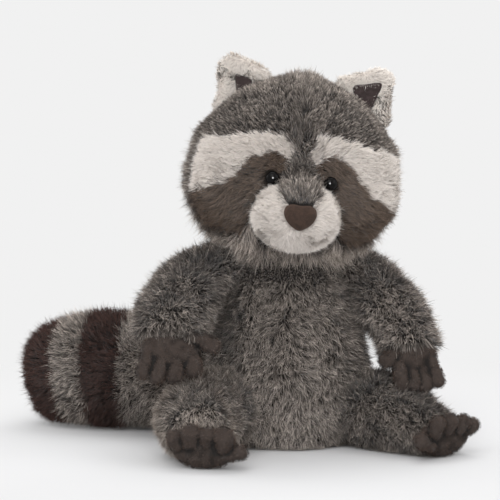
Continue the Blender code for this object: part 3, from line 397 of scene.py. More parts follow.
def ear_spoke(label, points):
    """Offsets in the ear's plane of places on the toy, the inverse of on_ear."""
    local = to_head(points)
    out = SIDES[label] * local[:, 0] - EAR_CENTRE[0]
    return np.stack([EAR_HINGE + (out - EAR_HINGE) / EAR_SPREAD[label], local[:, 2] - EAR_CENTRE[1]], -1)


def tube_grid(spine, radii, rows, sides, start_rounding, end_rounding, grow=0.0, caps=9, blunt=1.0):
    """Grid of a round tube along a spine; an end of rounding q closes as an ellipse.

    At angle a past an end the ring has radius r cos(a), raised to the power blunt, and lies
    q sin(a) beyond it.
    """
    spine = smooth_curve(spine, rows)
    radii = smooth_curve(np.asarray(radii)[:, None], rows)[:, 0] + grow
    tangents = unit(np.gradient(spine, axis=0))
    angles = np.linspace(0.0, math.radians(88.0), caps + 1)[1:]
    first = spine[0] - tangents[0] * (start_rounding + grow) * np.sin(angles[::-1, None])
    last = spine[-1] + tangents[-1] * (end_rounding + grow) * np.sin(angles[:, None])
    centres = np.concatenate([first, spine, last])
    widths = np.concatenate([radii[0] * np.cos(angles[::-1]), radii, radii[-1] * np.cos(angles) ** blunt])
    along = np.concatenate([np.repeat(tangents[:1], caps, 0), tangents, np.repeat(tangents[-1:], caps, 0)])
    across = unit(np.cross(along, (0.0, 0.0, 1.0)))
    lift = np.cross(across, along)
    turns = np.linspace(0.0, 2 * math.pi, sides, endpoint=False)[None, :, None]
    round_it = np.cos(turns) * across[:, None] + np.sin(turns) * lift[:, None]
    return centres[:, None] + widths[:, None, None] * round_it


def torso_grid(inset, rows=64, sides=110):
    """Grid of the torso: ellipses whose half axes follow a smooth curve through the sections.

    The foot rounds into the flat seat and the top closes as a quarter ellipse under the head.
    """
    sections = smooth_curve(TORSO_SECTIONS, rows)
    seat = sections[:1] * np.linspace(0.05, 0.95, 8)[:, None] * (0, 1, 1)
    angles = np.linspace(0.0, math.radians(86.0), 9)[1:, None]
    rise = TORSO_TOP - TORSO_SECTIONS[-1, 0]
    top = np.concatenate([sections[-1, 0] + rise * np.sin(angles), sections[-1, 1:] * np.cos(angles)], 1)
    height, width, depth = np.concatenate([seat, sections, top]).T
    width, depth = np.maximum(width - inset, 1.0 * MM), np.maximum(depth - inset, 1.0 * MM)
    turns = np.linspace(0.0, 2 * math.pi, sides, endpoint=False)
    return np.stack([width[:, None] * np.cos(turns), depth[:, None] * np.sin(turns),
                     np.repeat(height[:, None], sides, 1)], -1)


def grid_normals(grid):
    """Outward normals of a closed grid whose columns wrap: the cross product of its two slopes."""
    down = np.gradient(grid, axis=0)
    longer = np.concatenate([grid[:, -1:], grid, grid[:, :1]], axis=1)
    normals = unit(np.cross(longer[:, 2:] - longer[:, :-2], down))
    outward = ((grid - grid.mean((0, 1))) * normals).sum(-1).mean()
    return normals if outward > 0 else -normals


def soften(grid, amount, length, seed):
    """A stuffed form's slight lumps: waves of a length push the grid out and in along its normals."""
    return grid + grid_normals(grid) * (amount * waves(grid, length, seed))[..., None]


# How deep points lie inside each form; below zero is outside

def depth_in_tube(points, spine, radii):
    """Radius less distance to the nearest stretch of the spine."""
    line = smooth_curve(spine, 9)
    width = smooth_curve(np.asarray(radii)[:, None], 9)[:, 0]
    start, step = line[:-1], np.diff(line, axis=0)
    t = np.clip(((points[:, None] - start) * step).sum(-1) / (step**2).sum(-1), 0.0, 1.0)
    gap = np.linalg.norm(points[:, None] - start - t[..., None] * step, axis=-1)
    return (width[:-1] + np.diff(width) * t - gap).max(1)


def depth_in_torso(points):
    """Depth under the ellipse of the torso at the point's height."""
    sections = smooth_curve(TORSO_SECTIONS, 40)
    width = np.interp(points[:, 2], sections[:, 0], sections[:, 1])
    depth = np.interp(points[:, 2], sections[:, 0], sections[:, 2])
    share = np.sqrt((points[:, 0] / width) ** 2 + (points[:, 1] / depth) ** 2)
    return np.minimum((1.0 - share) * np.minimum(width, depth), TORSO_TOP - points[:, 2])


def depth_in_head(points):
    """Depth under the head's surface, along the spoke from its middle."""
    local = to_head(points)
    distance = np.linalg.norm(local, axis=1)
    height = np.where(local[:, 2] < 0.0, HEAD_CHIN, HEAD_CROWN)
    share = np.sqrt((local[:, 0] / HEAD_HALF_WIDTH) ** 2 + (local[:, 1] / HEAD_HALF_DEPTH) ** 2
                    + (local[:, 2] / height) ** 2)
    longitude, latitude = head_angles(local / np.maximum(share, 1e-6)[:, None])
    reach = np.linalg.norm(head_point(longitude, latitude), axis=1)
    return reach - distance


def depth_in_pad(points, centre, matrix, halves):
    """Depth under an oval pad's surface, along the spoke from its middle."""
    local = (points - centre) @ matrix
    share = np.linalg.norm(local / halves, axis=1)
    return (1.0 - share) * halves.min()


def turn_matrix(pitch, roll, yaw):
    """Rotation matrix: pitch about X, then roll about Y, then yaw about Z."""
    return np.array(Euler((pitch, roll, yaw), 'XYZ').to_matrix())


def hand_frame(label):
    """Centre and rotation of a hand."""
    centre, lean, swing = HAND_PLACE[label]
    return centre, turn_matrix(lean, swing, 0.0)


def foot_frame(label):
    """Centre and rotation of a foot."""
    side = SIDES[label]
    return FOOT_PLACE * (side, 1, 1), turn_matrix(FOOT_LEAN, 0.0, side * FOOT_SPLAY)


def buried(points, depth, own):
    """Whether points lie under the cloth of another form than their own."""
    found = np.zeros(len(points), bool)
    if own != "torso":
        found |= depth_in_torso(points) > depth
    if own != "head":
        found |= depth_in_head(points) > depth
    if own != "tail":
        found |= depth_in_tube(points, TAIL_SPINE, TAIL_RADII) > depth
    for label in SIDES:
        if own != "arm_" + label:
            found |= depth_in_tube(points, ARM_SPINE[label], ARM_RADII[label]) > depth
        if own != "leg_" + label:
            found |= depth_in_tube(points, LEG_SPINE[label], LEG_RADII[label]) > depth
        found |= depth_in_pad(points, *hand_frame(label), PALM_HALVES[label]) > 0.0
        found |= depth_in_pad(points, *foot_frame(label), SOLE_HALVES[label]) > 0.0
    return found


# ---------------------------------------------------------------------------------------------
# Meshes
# ---------------------------------------------------------------------------------------------

def new_piece(name, vertices, faces, material, smooth=True):
    """An object at the origin from whole arrays: faces is one array of corners per number of sides."""
    mesh = bpy.data.meshes.new(name)
    mesh.vertices.add(len(vertices))
    mesh.vertices.foreach_set("co", np.ascontiguousarray(vertices, np.float32).ravel())
    corners = np.concatenate([group.ravel() for group in faces]).astype(np.int32)
    sizes = np.concatenate([np.full(len(group), group.shape[1]) for group in faces])
    mesh.loops.add(len(corners))
    mesh.loops.foreach_set("vertex_index", corners)
    mesh.polygons.add(len(sizes))
    mesh.polygons.foreach_set("loop_start", (np.cumsum(sizes) - sizes).astype(np.int32))
    mesh.update(calc_edges=True)
    if smooth:
        mesh.shade_smooth()
    mesh.materials.append(material)
    piece = bpy.data.objects.new(name, mesh)
    bpy.context.scene.collection.objects.link(piece)
    return piece


def closed_grid(name, grid, material):
    """A closed piece from a grid whose columns wrap, with a fan to a point at each end."""
    rows, columns = grid.shape[:2]
    grid = grid if ((grid - grid.mean((0, 1))) * raw_normals(grid)).sum(-1).mean() > 0 else grid[:, ::-1]
    vertices = np.concatenate([grid.reshape(-1, 3), grid[:1].mean(1), grid[-1:].mean(1)])
    index = np.arange(rows * columns).reshape(rows, columns)
    after = np.roll(index, -1, axis=1)
    quads = np.stack([index[:-1], after[:-1], after[1:], index[1:]], -1).reshape(-1, 4)
    first = np.stack([np.full(columns, rows * columns), after[0], index[0]], -1)
    last = np.stack([np.full(columns, rows * columns + 1), index[-1], after[-1]], -1)
    return new_piece(name, vertices, [quads, np.concatenate([first, last])], material)


def raw_normals(grid):
    """Normals as the winding of closed_grid's faces gives them."""
    longer = np.concatenate([grid[:, -1:], grid, grid[:, :1]], axis=1)
    return unit(np.cross(longer[:, 2:] - longer[:, :-2], np.gradient(grid, axis=0)))


def settle(piece, slot, *nodes, fill=None):
    """Finishes a piece: it rides on the toy's one body, and the solids that it stands for are hidden."""
    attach(piece, "root")
    if nodes:
        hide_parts(*nodes)
    return piece


# ---------------------------------------------------------------------------------------------
# Fur
# ---------------------------------------------------------------------------------------------

# A strand's halves: how far each leans and how long each is, as shares of the whole strand's
LOWER_LEAN, UPPER_LEAN = 0.55, 1.25
LOWER_LENGTH, UPPER_LENGTH = 0.48, 0.55
# How much the tone differs between wide tufts, fine tufts and single strands, and a guard hair's extra
TONE_SPREADS = (0.05, 0.16, 0.20)
GUARD_TONE = 0.14


def scatter(grid, normals, count, rng):
    """Roots and normals spread evenly over a grid's area.

    A root takes a cell with a chance in proportion to its area, and a place in the cell
    by two random shares; its point and normal are the cell corners' mix by those shares.
    """
    longer = np.concatenate([grid, grid[:, :1]], axis=1)
    bent = np.concatenate([normals, normals[:, :1]], axis=1)
    corners = [longer[:-1, :-1], longer[:-1, 1:], longer[1:, :-1], longer[1:, 1:]]
    area = np.linalg.norm(np.cross(corners[3] - corners[0], corners[2] - corners[1]), axis=-1).ravel()
    total = np.cumsum(area)
    cell = np.searchsorted(total, (np.arange(count) + rng.random(count)) / count * total[-1])
    cell = np.minimum(cell, len(area) - 1)
    row, column = np.divmod(cell, grid.shape[1])
    s, t = rng.random((2, count, 1))

    def mix(field):
        upper = field[row, column] * (1 - t) + field[row, column + 1] * t
        lower = field[row + 1, column] * (1 - t) + field[row + 1, column + 1] * t
        return upper * (1 - s) + lower * s

    return mix(longer), unit(mix(bent))


def area_of(grid):
    """Area of a grid whose columns wrap."""
    longer = np.concatenate([grid, grid[:, :1]], axis=1)
    across, back = longer[1:, 1:] - longer[:-1, :-1], longer[1:, :-1] - longer[:-1, 1:]
    return 0.5 * np.linalg.norm(np.cross(across, back), axis=-1).sum()


def scramble(whole, salt):
    """Random shares from 0 to 1 that depend only on whole numbers, by mixing their bits."""
    mixed = (whole.astype(np.uint64) + np.uint64(salt)) * np.uint64(0x9E3779B97F4A7C15)
    mixed = (mixed ^ (mixed >> np.uint64(30))) * np.uint64(0xBF58476D1CE4E5B9)
    mixed = (mixed ^ (mixed >> np.uint64(27))) * np.uint64(0x94D049BB133111EB)
    return (mixed >> np.uint64(40)).astype(float) / 2.0**24


def tufts(points, size, salt):
    """Number of each point's tuft: the nearest of the random centres, one in each cell of a box grid."""
    cell = np.floor(points / size).astype(np.int64) + 1000
    nearest = np.full(len(points), np.inf)
    owner = np.zeros(len(points), np.int64)
    for step in np.ndindex(3, 3, 3):
        other = cell + np.array(step) - 1
        key = (other[:, 0] * 4096 + other[:, 1]) * 4096 + other[:, 2]
        centre = np.stack([scramble(key, salt + axis) for axis in range(3)], -1)
        gap = (((other - 1000 + centre) * size - points) ** 2).sum(1)
        closer = gap < nearest
        nearest = np.where(closer, gap, nearest)
        owner = np.where(closer, key, owner)
    return np.unique(owner, return_inverse=True)[1]


def tuft_mean(values, owner):
    """Mean of each tuft's values, given back to every point of the tuft."""
    count = np.bincount(owner)
    means = np.stack([np.bincount(owner, column) / count for column in values.T], -1)
    return means[owner]


def strands(name, material, roots, normals, combs, length, width, lean, tone, rng, gather=(0.12, 0.42),
            tuft_size=2.4 * MM, stray=0.38, salt=0, shade=0.5, guard=0.16):
    """Fur as ribbons of two triangles: root, the two sides of the middle, and tip.

    A strand leaves the cloth between its normal and its comb direction, leaning more in its
    upper half. Tufts of two sizes pull the middles and tips towards their own mean line, and
    a share of thin guard hairs stands longer and straighter than the rest. The map OFBake
    holds the strand's tone and the share of the way along it.
    """
    count = len(roots)
    guards = rng.random(count) < guard
    uneven = rng.uniform(0.74, 1.1, count) * np.where(guards, rng.uniform(1.1, 1.45, count), 1.0)
    length = (length * uneven)[:, None]
    combs = unit(combs - (combs * normals).sum(1)[:, None] * normals)
    wide = tufts(roots, tuft_size, salt)
    fine = tufts(roots, 0.45 * tuft_size, salt + 50)
    wide_kick = rng.normal(0.0, 1.0, (wide.max() + 1, 3))[wide]
    fine_kick = rng.normal(0.0, 1.0, (fine.max() + 1, 3))[fine]
    lean = lean * np.where(guards, 0.6, 1.0) * (1.0 + 0.12 * rng.normal(size=wide.max() + 1)[wide])
    kick = stray * (0.55 * wide_kick + 0.75 * fine_kick + 0.75 * rng.normal(size=(count, 3)))
    low, high = (unit(normals * np.cos(part * lean)[:, None] + combs * np.sin(part * lean)[:, None]
                      + loosely * kick) for part, loosely in ((LOWER_LEAN, 0.6), (UPPER_LEAN, 1.0)))
    under = ((high * normals).sum(1) - 0.12)[:, None]
    high = unit(high - np.minimum(under, 0.0) * normals)
    middle = roots + low * LOWER_LENGTH * length
    tip = middle + high * UPPER_LENGTH * length
    loose = np.where(guards, 0.25, 1.0)[:, None]
    for owner, share in ((wide, gather[0]), (fine, gather[1])):
        centre = tuft_mean(roots, owner)
        tip = tip + loose * share * (tuft_mean(tip - roots, owner) + centre - tip)
        middle = middle + 0.4 * loose * share * (tuft_mean(middle - roots, owner) + centre - middle)
    line = unit(tip - roots)
    twist = rng.uniform(-0.6, 0.6, count)[:, None]
    across = unit(np.cross(line, normals))
    across = unit(across * np.cos(twist) + np.cross(line, across) * np.sin(twist))
    half = 0.5 * width * (rng.uniform(0.7, 1.3, count) * np.where(guards, 0.72, 1.0))[:, None] * across
    points = np.stack([roots - 0.4 * MM * normals, middle + half, middle - half, tip], 1)
    points[..., 2] = np.maximum(points[..., 2], FLOOR_CLEARANCE)
    facing = np.cross(middle - half - roots, middle + half - roots)
    turned = (facing * (normals + np.array((0.0, 0.0, 0.5)))).sum(1) < 0.0
    points[turned] = points[turned][:, [0, 2, 1, 3]]
    facing[turned] *= -1.0
    base = 4 * np.arange(count)[:, None]
    triangles = np.concatenate([base + (0, 2, 1), base + (1, 2, 3)], 1).reshape(-1, 3)
    piece = new_piece(name, points.reshape(-1, 3), [triangles], material)
    tone = tone + TONE_SPREADS[0] * rng.normal(size=wide.max() + 1)[wide] \
        + TONE_SPREADS[1] * rng.normal(size=fine.max() + 1)[fine] \
        + TONE_SPREADS[2] * rng.normal(size=count) + np.where(guards, GUARD_TONE, 0.0)
    tone = np.clip(tone, 0.02, 0.98)
    chart = np.stack([np.stack([tone + aside, np.full(count, along)], -1)
                      for aside, along in ((0.0, 0.01), (-0.004, 0.5), (0.004, 0.5), (0.0, 0.99))], 1)
    layer = piece.data.uv_layers.new(name="OFBake")
    layer.uv.foreach_set("vector", chart.reshape(-1, 2)[triangles.ravel()].astype(np.float32).ravel())
    soft = unit(shade * normals + (1.0 - shade) * unit(facing))
    bent = np.repeat(soft, 4, axis=0).astype(np.float32)
    piece.data.normals_split_custom_set_from_vertices(bent)
    return piece


# ---------------------------------------------------------------------------------------------
# Materials
# ---------------------------------------------------------------------------------------------

def node(tree, kind, place=(0, 0), **values):
    """A node of the tree with its settings."""
    made = tree.nodes.new(kind)
    made.location = place
    for key, value in values.items():
        setattr(made, key, value)
    return made


def link(tree, start, end):
    tree.links.new(start, end)


def opaque(colour, factor=1.0):
    """A colour with its alpha, lighter or darker by a factor."""
    return (*(factor * channel for channel in colour), 1.0)


def new_group(name, inputs, outputs):
    """A shader node group with named sockets; each is (name, kind, default)."""
    group = bpy.data.node_groups.new(name, 'ShaderNodeTree')
    for label, kind, default in inputs:
        socket = group.interface.new_socket(label, in_out='INPUT', socket_type=kind)
        if default is not None:
            socket.default_value = default
    for label, kind, _ in outputs:
        group.interface.new_socket(label, in_out='OUTPUT', socket_type=kind)
    return group, node(group, 'NodeGroupInput', (-900, 0)), node(group, 'NodeGroupOutput', (700, 0))


def smooth_share(tree, source, low, high):
    """Smooth step of a value from 0 at low to 1 at high."""
    made = node(tree, 'ShaderNodeMapRange', interpolation_type='SMOOTHSTEP')
    link(tree, source, made.inputs["Value"])
    made.inputs["From Min"].default_value = low
    made.inputs["From Max"].default_value = high
    return made.outputs["Result"]


def mixed(tree, share, first, second, blend='MIX'):
    """Colour mix of two sockets or colours by a share."""
    made = node(tree, 'ShaderNodeMix', data_type='RGBA', blend_type=blend)
    for value, socket in ((share, made.inputs[0]), (first, made.inputs[6]), (second, made.inputs[7])):
        if isinstance(value, bpy.types.NodeSocket):
            link(tree, value, socket)
        else:
            socket.default_value = value
    return made.outputs[2]


def scaled(tree, source, factor, operation='MULTIPLY'):
    """A value worked with another value or number."""
    made = node(tree, 'ShaderNodeMath', operation=operation)
    link(tree, source, made.inputs[0])
    if isinstance(factor, bpy.types.NodeSocket):
        link(tree, factor, made.inputs[1])
    else:
        made.inputs[1].default_value = factor
    return made.outputs[0]


def pile_group():
    """Colour of a strand from its map: root, middle and tip along it, lighter or darker by its tone."""
    found = bpy.data.node_groups.get("Pile colour")
    if found:
        return found
    group, given, result = new_group("Pile colour", [
        ("Map", 'NodeSocketVector', None), ("Root", 'NodeSocketColor', None),
        ("Middle", 'NodeSocketColor', None), ("Tip", 'NodeSocketColor', None),
        ("Darkest", 'NodeSocketFloat', 0.6), ("Lightest", 'NodeSocketFloat', 1.3)],
        [("Color", 'NodeSocketColor', None)])
    split = node(group, 'ShaderNodeSeparateXYZ', (-700, 0))
    link(group, given.outputs["Map"], split.inputs[0])
    tone, along = split.outputs[0], split.outputs[1]
    stem = mixed(group, smooth_share(group, along, 0.0, 0.55), given.outputs["Root"], given.outputs["Middle"])
    tipped = scaled(group, smooth_share(group, along, 0.45, 1.0), smooth_share(group, tone, 0.1, 0.9))
    whole = mixed(group, tipped, stem, given.outputs["Tip"])
    level = node(group, 'ShaderNodeMapRange')
    link(group, tone, level.inputs["Value"])
    link(group, given.outputs["Darkest"], level.inputs["To Min"])
    link(group, given.outputs["Lightest"], level.inputs["To Max"])
    lit = node(group, 'ShaderNodeVectorMath', operation='SCALE')
    link(group, whole, lit.inputs[0])
    link(group, level.outputs["Result"], lit.inputs["Scale"])
    link(group, lit.outputs[0], result.inputs["Color"])
    return group


def fibre_group():
    """Fine suede or cloth surface: nap shading of two scales and the height of its fibres."""
    found = bpy.data.node_groups.get("Fibre surface")
    if found:
        return found
    group, given, result = new_group("Fibre surface", [
        ("Vector", 'NodeSocketVector', None), ("Grain", 'NodeSocketFloat', 1500.0),
        ("Nap", 'NodeSocketFloat', 180.0)],
        [("Shade", 'NodeSocketFloat', None), ("Height", 'NodeSocketFloat', None)])
    grain = node(group, 'ShaderNodeTexNoise', (-500, 150))
    nap = node(group, 'ShaderNodeTexNoise', (-500, -150))
    grain.inputs["Detail"].default_value = 3.0
    nap.inputs["Detail"].default_value = 4.0
    nap.inputs["Distortion"].default_value = 0.6
    for made, label in ((grain, "Grain"), (nap, "Nap")):
        link(group, given.outputs["Vector"], made.inputs["Vector"])
        link(group, given.outputs[label], made.inputs["Scale"])
    height = scaled(group, grain.outputs[0], scaled(group, nap.outputs[0], 0.6, 'ADD'))
    shade = scaled(group, scaled(group, grain.outputs[0], 0.4), scaled(group, nap.outputs[0], 0.6), 'ADD')
    link(group, shade, result.inputs["Shade"])
    link(group, height, result.inputs["Height"])
    return group


def new_material(name):
    """A material with its Principled shader."""
    material = bpy.data.materials.new(name)
    material.use_nodes = True
    return material, material.node_tree, material.node_tree.nodes["Principled BSDF"]


def fur_material(name, root, middle, tip, darkest, lightest, sheen=0.25):
    """Pile fur: the strand's colour comes from its own map."""
    material, tree, shader = new_material(name)
    group = node(tree, 'ShaderNodeGroup', (-300, 0))
    group.node_tree = pile_group()
    chart = node(tree, 'ShaderNodeUVMap', (-500, 0), uv_map="OFBake")
    link(tree, chart.outputs["UV"], group.inputs["Map"])
    for label, colour in (("Root", root), ("Middle", middle), ("Tip", tip)):
        group.inputs[label].default_value = opaque(colour)
    group.inputs["Darkest"].default_value = darkest
    group.inputs["Lightest"].default_value = lightest
    link(tree, group.outputs["Color"], shader.inputs["Base Color"])
    shader.inputs["Roughness"].default_value = 0.62
    shader.inputs["Specular IOR Level"].default_value = 0.12
    shader.inputs["Sheen Weight"].default_value = sheen
    shader.inputs["Sheen Roughness"].default_value = 0.4
    return material


def backing_material(name, colour, painted=False):
    """Knitted backing cloth seen between the strands; a painted one is multiplied by its own attribute."""
    material, tree, shader = new_material(name)
    place = node(tree, 'ShaderNodeTexCoord', (-900, 0))
    group = node(tree, 'ShaderNodeGroup', (-600, 0))
    group.node_tree = fibre_group()
    link(tree, place.outputs["Object"], group.inputs["Vector"])
    group.inputs["Nap"].default_value = 320.0
    shade = mixed(tree, group.outputs["Shade"], opaque(colour, 0.6), opaque(colour, 1.3))
    if painted:
        cloth = node(tree, 'ShaderNodeAttribute', (-600, 300), attribute_name="cloth")
        shade = mixed(tree, 1.0, cloth.outputs["Color"], shade, 'MULTIPLY')
    link(tree, shade, shader.inputs["Base Color"])
    bump = node(tree, 'ShaderNodeBump', (-300, -200))
    bump.inputs["Strength"].default_value = 0.5
    bump.inputs["Distance"].default_value = 0.4 * MM
    link(tree, group.outputs["Height"], bump.inputs["Height"])
    link(tree, bump.outputs["Normal"], shader.inputs["Normal"])
    shader.inputs["Roughness"].default_value = 0.95
    shader.inputs["Specular IOR Level"].default_value = 0.1
    return material


def suede_material(name, colour, sheen=0.2, nap=170.0, edge=0.8):
    """Brushed suede: short fibres and patches of nap that lie either way, with painted shade that darkens its
    creases and a painted sheen that pales its bulges and rims.
    """
    material, tree, shader = new_material(name)
    place = node(tree, 'ShaderNodeTexCoord', (-1100, 0))
    group = node(tree, 'ShaderNodeGroup', (-800, 0))
    group.node_tree = fibre_group()
    link(tree, place.outputs["Object"], group.inputs["Vector"])
    group.inputs["Nap"].default_value = nap
    spread = smooth_share(tree, group.outputs["Shade"], 0.3, 0.7)
    base = mixed(tree, spread, opaque(colour, 0.66), opaque(colour, 1.34))
    # Painted shade and sheen: the attribute below 0.5 paints a crease darker, and above 0.5 paints a bulge or
    # rim paler by the share edge.
    crease_shade_and_sheen = node(tree, 'ShaderNodeAttribute', (-800, -300), attribute_name="crease_shade_and_sheen")
    dark = mixed(tree, smooth_share(tree, crease_shade_and_sheen.outputs["Fac"], 0.5, 0.0), base, opaque(colour, 0.3))
    pale = mixed(tree, scaled(tree, smooth_share(tree, crease_shade_and_sheen.outputs["Fac"], 0.5, 1.0), edge), dark,
                 opaque([min(1.9 * c + 0.01, 1.0) for c in colour]))
    link(tree, pale, shader.inputs["Base Color"])
    bump = node(tree, 'ShaderNodeBump', (-300, -200))
    bump.inputs["Strength"].default_value = 0.45
    bump.inputs["Distance"].default_value = 0.3 * MM
    link(tree, group.outputs["Height"], bump.inputs["Height"])
    link(tree, bump.outputs["Normal"], shader.inputs["Normal"])
    shader.inputs["Roughness"].default_value = 0.92
    shader.inputs["Specular IOR Level"].default_value = 0.15
    shader.inputs["Sheen Weight"].default_value = sheen
    shader.inputs["Sheen Roughness"].default_value = 0.35
    return material


def eye_material():
    """Black glossy moulded plastic with faint scratches in its polish."""
    material, tree, shader = new_material("black glossy plastic")
    place = node(tree, 'ShaderNodeTexCoord', (-900, 0))
    noise = node(tree, 'ShaderNodeTexNoise', (-700, 0))
    noise.inputs["Scale"].default_value = 900.0
    link(tree, place.outputs["Object"], noise.inputs["Vector"])
    link(tree, mixed(tree, noise.outputs[0], (0.003, 0.003, 0.003, 1), (0.007, 0.006, 0.006, 1)),
         shader.inputs["Base Color"])
    rough = smooth_share(tree, noise.outputs[0], -3.0, 9.0)
    link(tree, scaled(tree, rough, 0.16), shader.inputs["Roughness"])
    shader.inputs["Specular IOR Level"].default_value = 0.1
    return material


def washer_material():
    """White moulded nylon of the eyes' locking washers."""
    material, tree, shader = new_material("white nylon")
    place = node(tree, 'ShaderNodeTexCoord', (-900, 0))
    noise = node(tree, 'ShaderNodeTexNoise', (-700, 0))
    noise.inputs["Scale"].default_value = 400.0
    link(tree, place.outputs["Object"], noise.inputs["Vector"])
    link(tree, mixed(tree, noise.outputs[0], (0.62, 0.61, 0.58, 1), (0.74, 0.73, 0.70, 1)),
         shader.inputs["Base Color"])
    shader.inputs["Roughness"].default_value = 0.45
    return material


# The face's cloth is a grey, and its vertex colours are this much lighter than the cloth's own
CLOTH_LIGHTENING = 2.0


def from_root(root, tip, share):
    """Root, middle and tip colours of a fur; the middle is a share of the way to the tip."""
    return root, [(1.0 - share) * a + share * b for a, b in zip(root, tip)], tip


def furs():
    """The fur and backing materials by name, made once."""
    colours = bpy.context.scene.plush_colours
    if "grey fur" not in bpy.data.materials:
        grey = (colours.grey_root, colours.grey_middle, colours.grey_tip)
        cream = from_root(colours.cream_root, colours.cream_tip, 0.5)
        # Painted light: the ears' fur is a copy of the cream fur painted lighter.
        ear = from_root(colours.ear_root_painted_lighter, colours.ear_tip_painted_lighter, 0.6)
        # The nap's tips are painted far paler than the suede, partly the fibres' own colour and partly a
        # painted sheen where they catch light.
        nap = [[share * c for c in colours.suede] for share in (0.8, 1.5, 4.6)]
        brown = from_root(colours.brown_root, colours.brown_tip, 0.55)
        banded = from_root(colours.band_root, colours.band_tip, 0.55)
        fur_material("grey fur", *grey, 0.36, 1.7)
        fur_material("cream fur", *cream, 0.86, 1.12)
        fur_material("ear fur", *ear, 0.88, 1.1)
        fur_material("brown fur", *brown, 0.42, 1.75)
        fur_material("dark fur", *banded, 0.5, 1.6, sheen=0.1)
        fur_material("suede nap", *nap, 0.5, 1.5, sheen=0.1)
        backing_material("face backing", 3 * [1.0 / CLOTH_LIGHTENING], painted=True)
        backing_material("grey backing", colours.grey_root)
        # Painted light: the cream backing is painted 1.15 times lighter than the cream fur's root, against
        # the shade of the strands over it.
        backing_material("cream backing", [1.15 * c for c in colours.cream_root])
        backing_material("dark backing", colours.band_root)
    return bpy.data.materials


def pile():
    return bpy.context.scene.plush_pile


def stuffed(name, grid, backing, slot, *nodes, fill):
    """A stuffed form's closed backing cloth."""
    return settle(closed_grid(name, grid, furs()[backing]), slot, *nodes, fill=fill)


def coat(name, own, material, slot, grid, salt, comb, tone=0.5, keep=None, length=None, lean=0.85, share=1.0,
         nodes=(), width=None, tuft=None, **options):
    """Fur over a grid of backing cloth: strands on what another form doesn't cover and keep allows."""
    rng = np.random.default_rng(pile().seed + salt)
    normals = grid_normals(grid)
    count = int(area_of(grid) / MM**2 * pile().density * share)
    roots, outward = scatter(grid, normals, count, rng)
    stays = ~buried(roots, pile().skin_depth + 0.5 * MM, own) & (roots[:, 2] > -0.1 * MM)
    stays &= ~((roots[:, 2] < 1.0 * MM) & (outward[:, 2] < -0.6))
    if keep is not None:
        stays &= keep(roots, outward)
    roots, outward = roots[stays], outward[stays]
    combed = comb(roots, outward) + 0.32 * wave_vectors(roots, 26 * MM, salt + 7) \
        + 0.14 * wave_vectors(roots, 11 * MM, salt + 17)
    if callable(tone):
        tone = tone(roots, outward)
    if callable(length):
        length = length(roots, outward)
    elif length is None:
        length = pile().pile
    if callable(lean):
        lean = lean(roots, outward)
    piece = strands(name, furs()[material], roots, outward, combed, length, width or pile().width,
                    np.broadcast_to(lean, len(roots)), tone, rng, tuft_size=tuft or pile().tuft, salt=salt,
                    **options)
    return settle(piece, slot, *nodes)


def rows(*directions):
    """A comb function of one fixed direction."""
    return lambda roots, outward: np.tile(np.array(directions, float), (len(roots), 1))


# ---------------------------------------------------------------------------------------------
# Operators
# ---------------------------------------------------------------------------------------------

class PieceOperator(bpy.types.Operator):
    """Base of the operators: the piece is built whole, or the error stops the script."""

    bl_options = {'REGISTER', 'UNDO'}

    def execute(self, context):
        self.build(context)
        return {'FINISHED'}


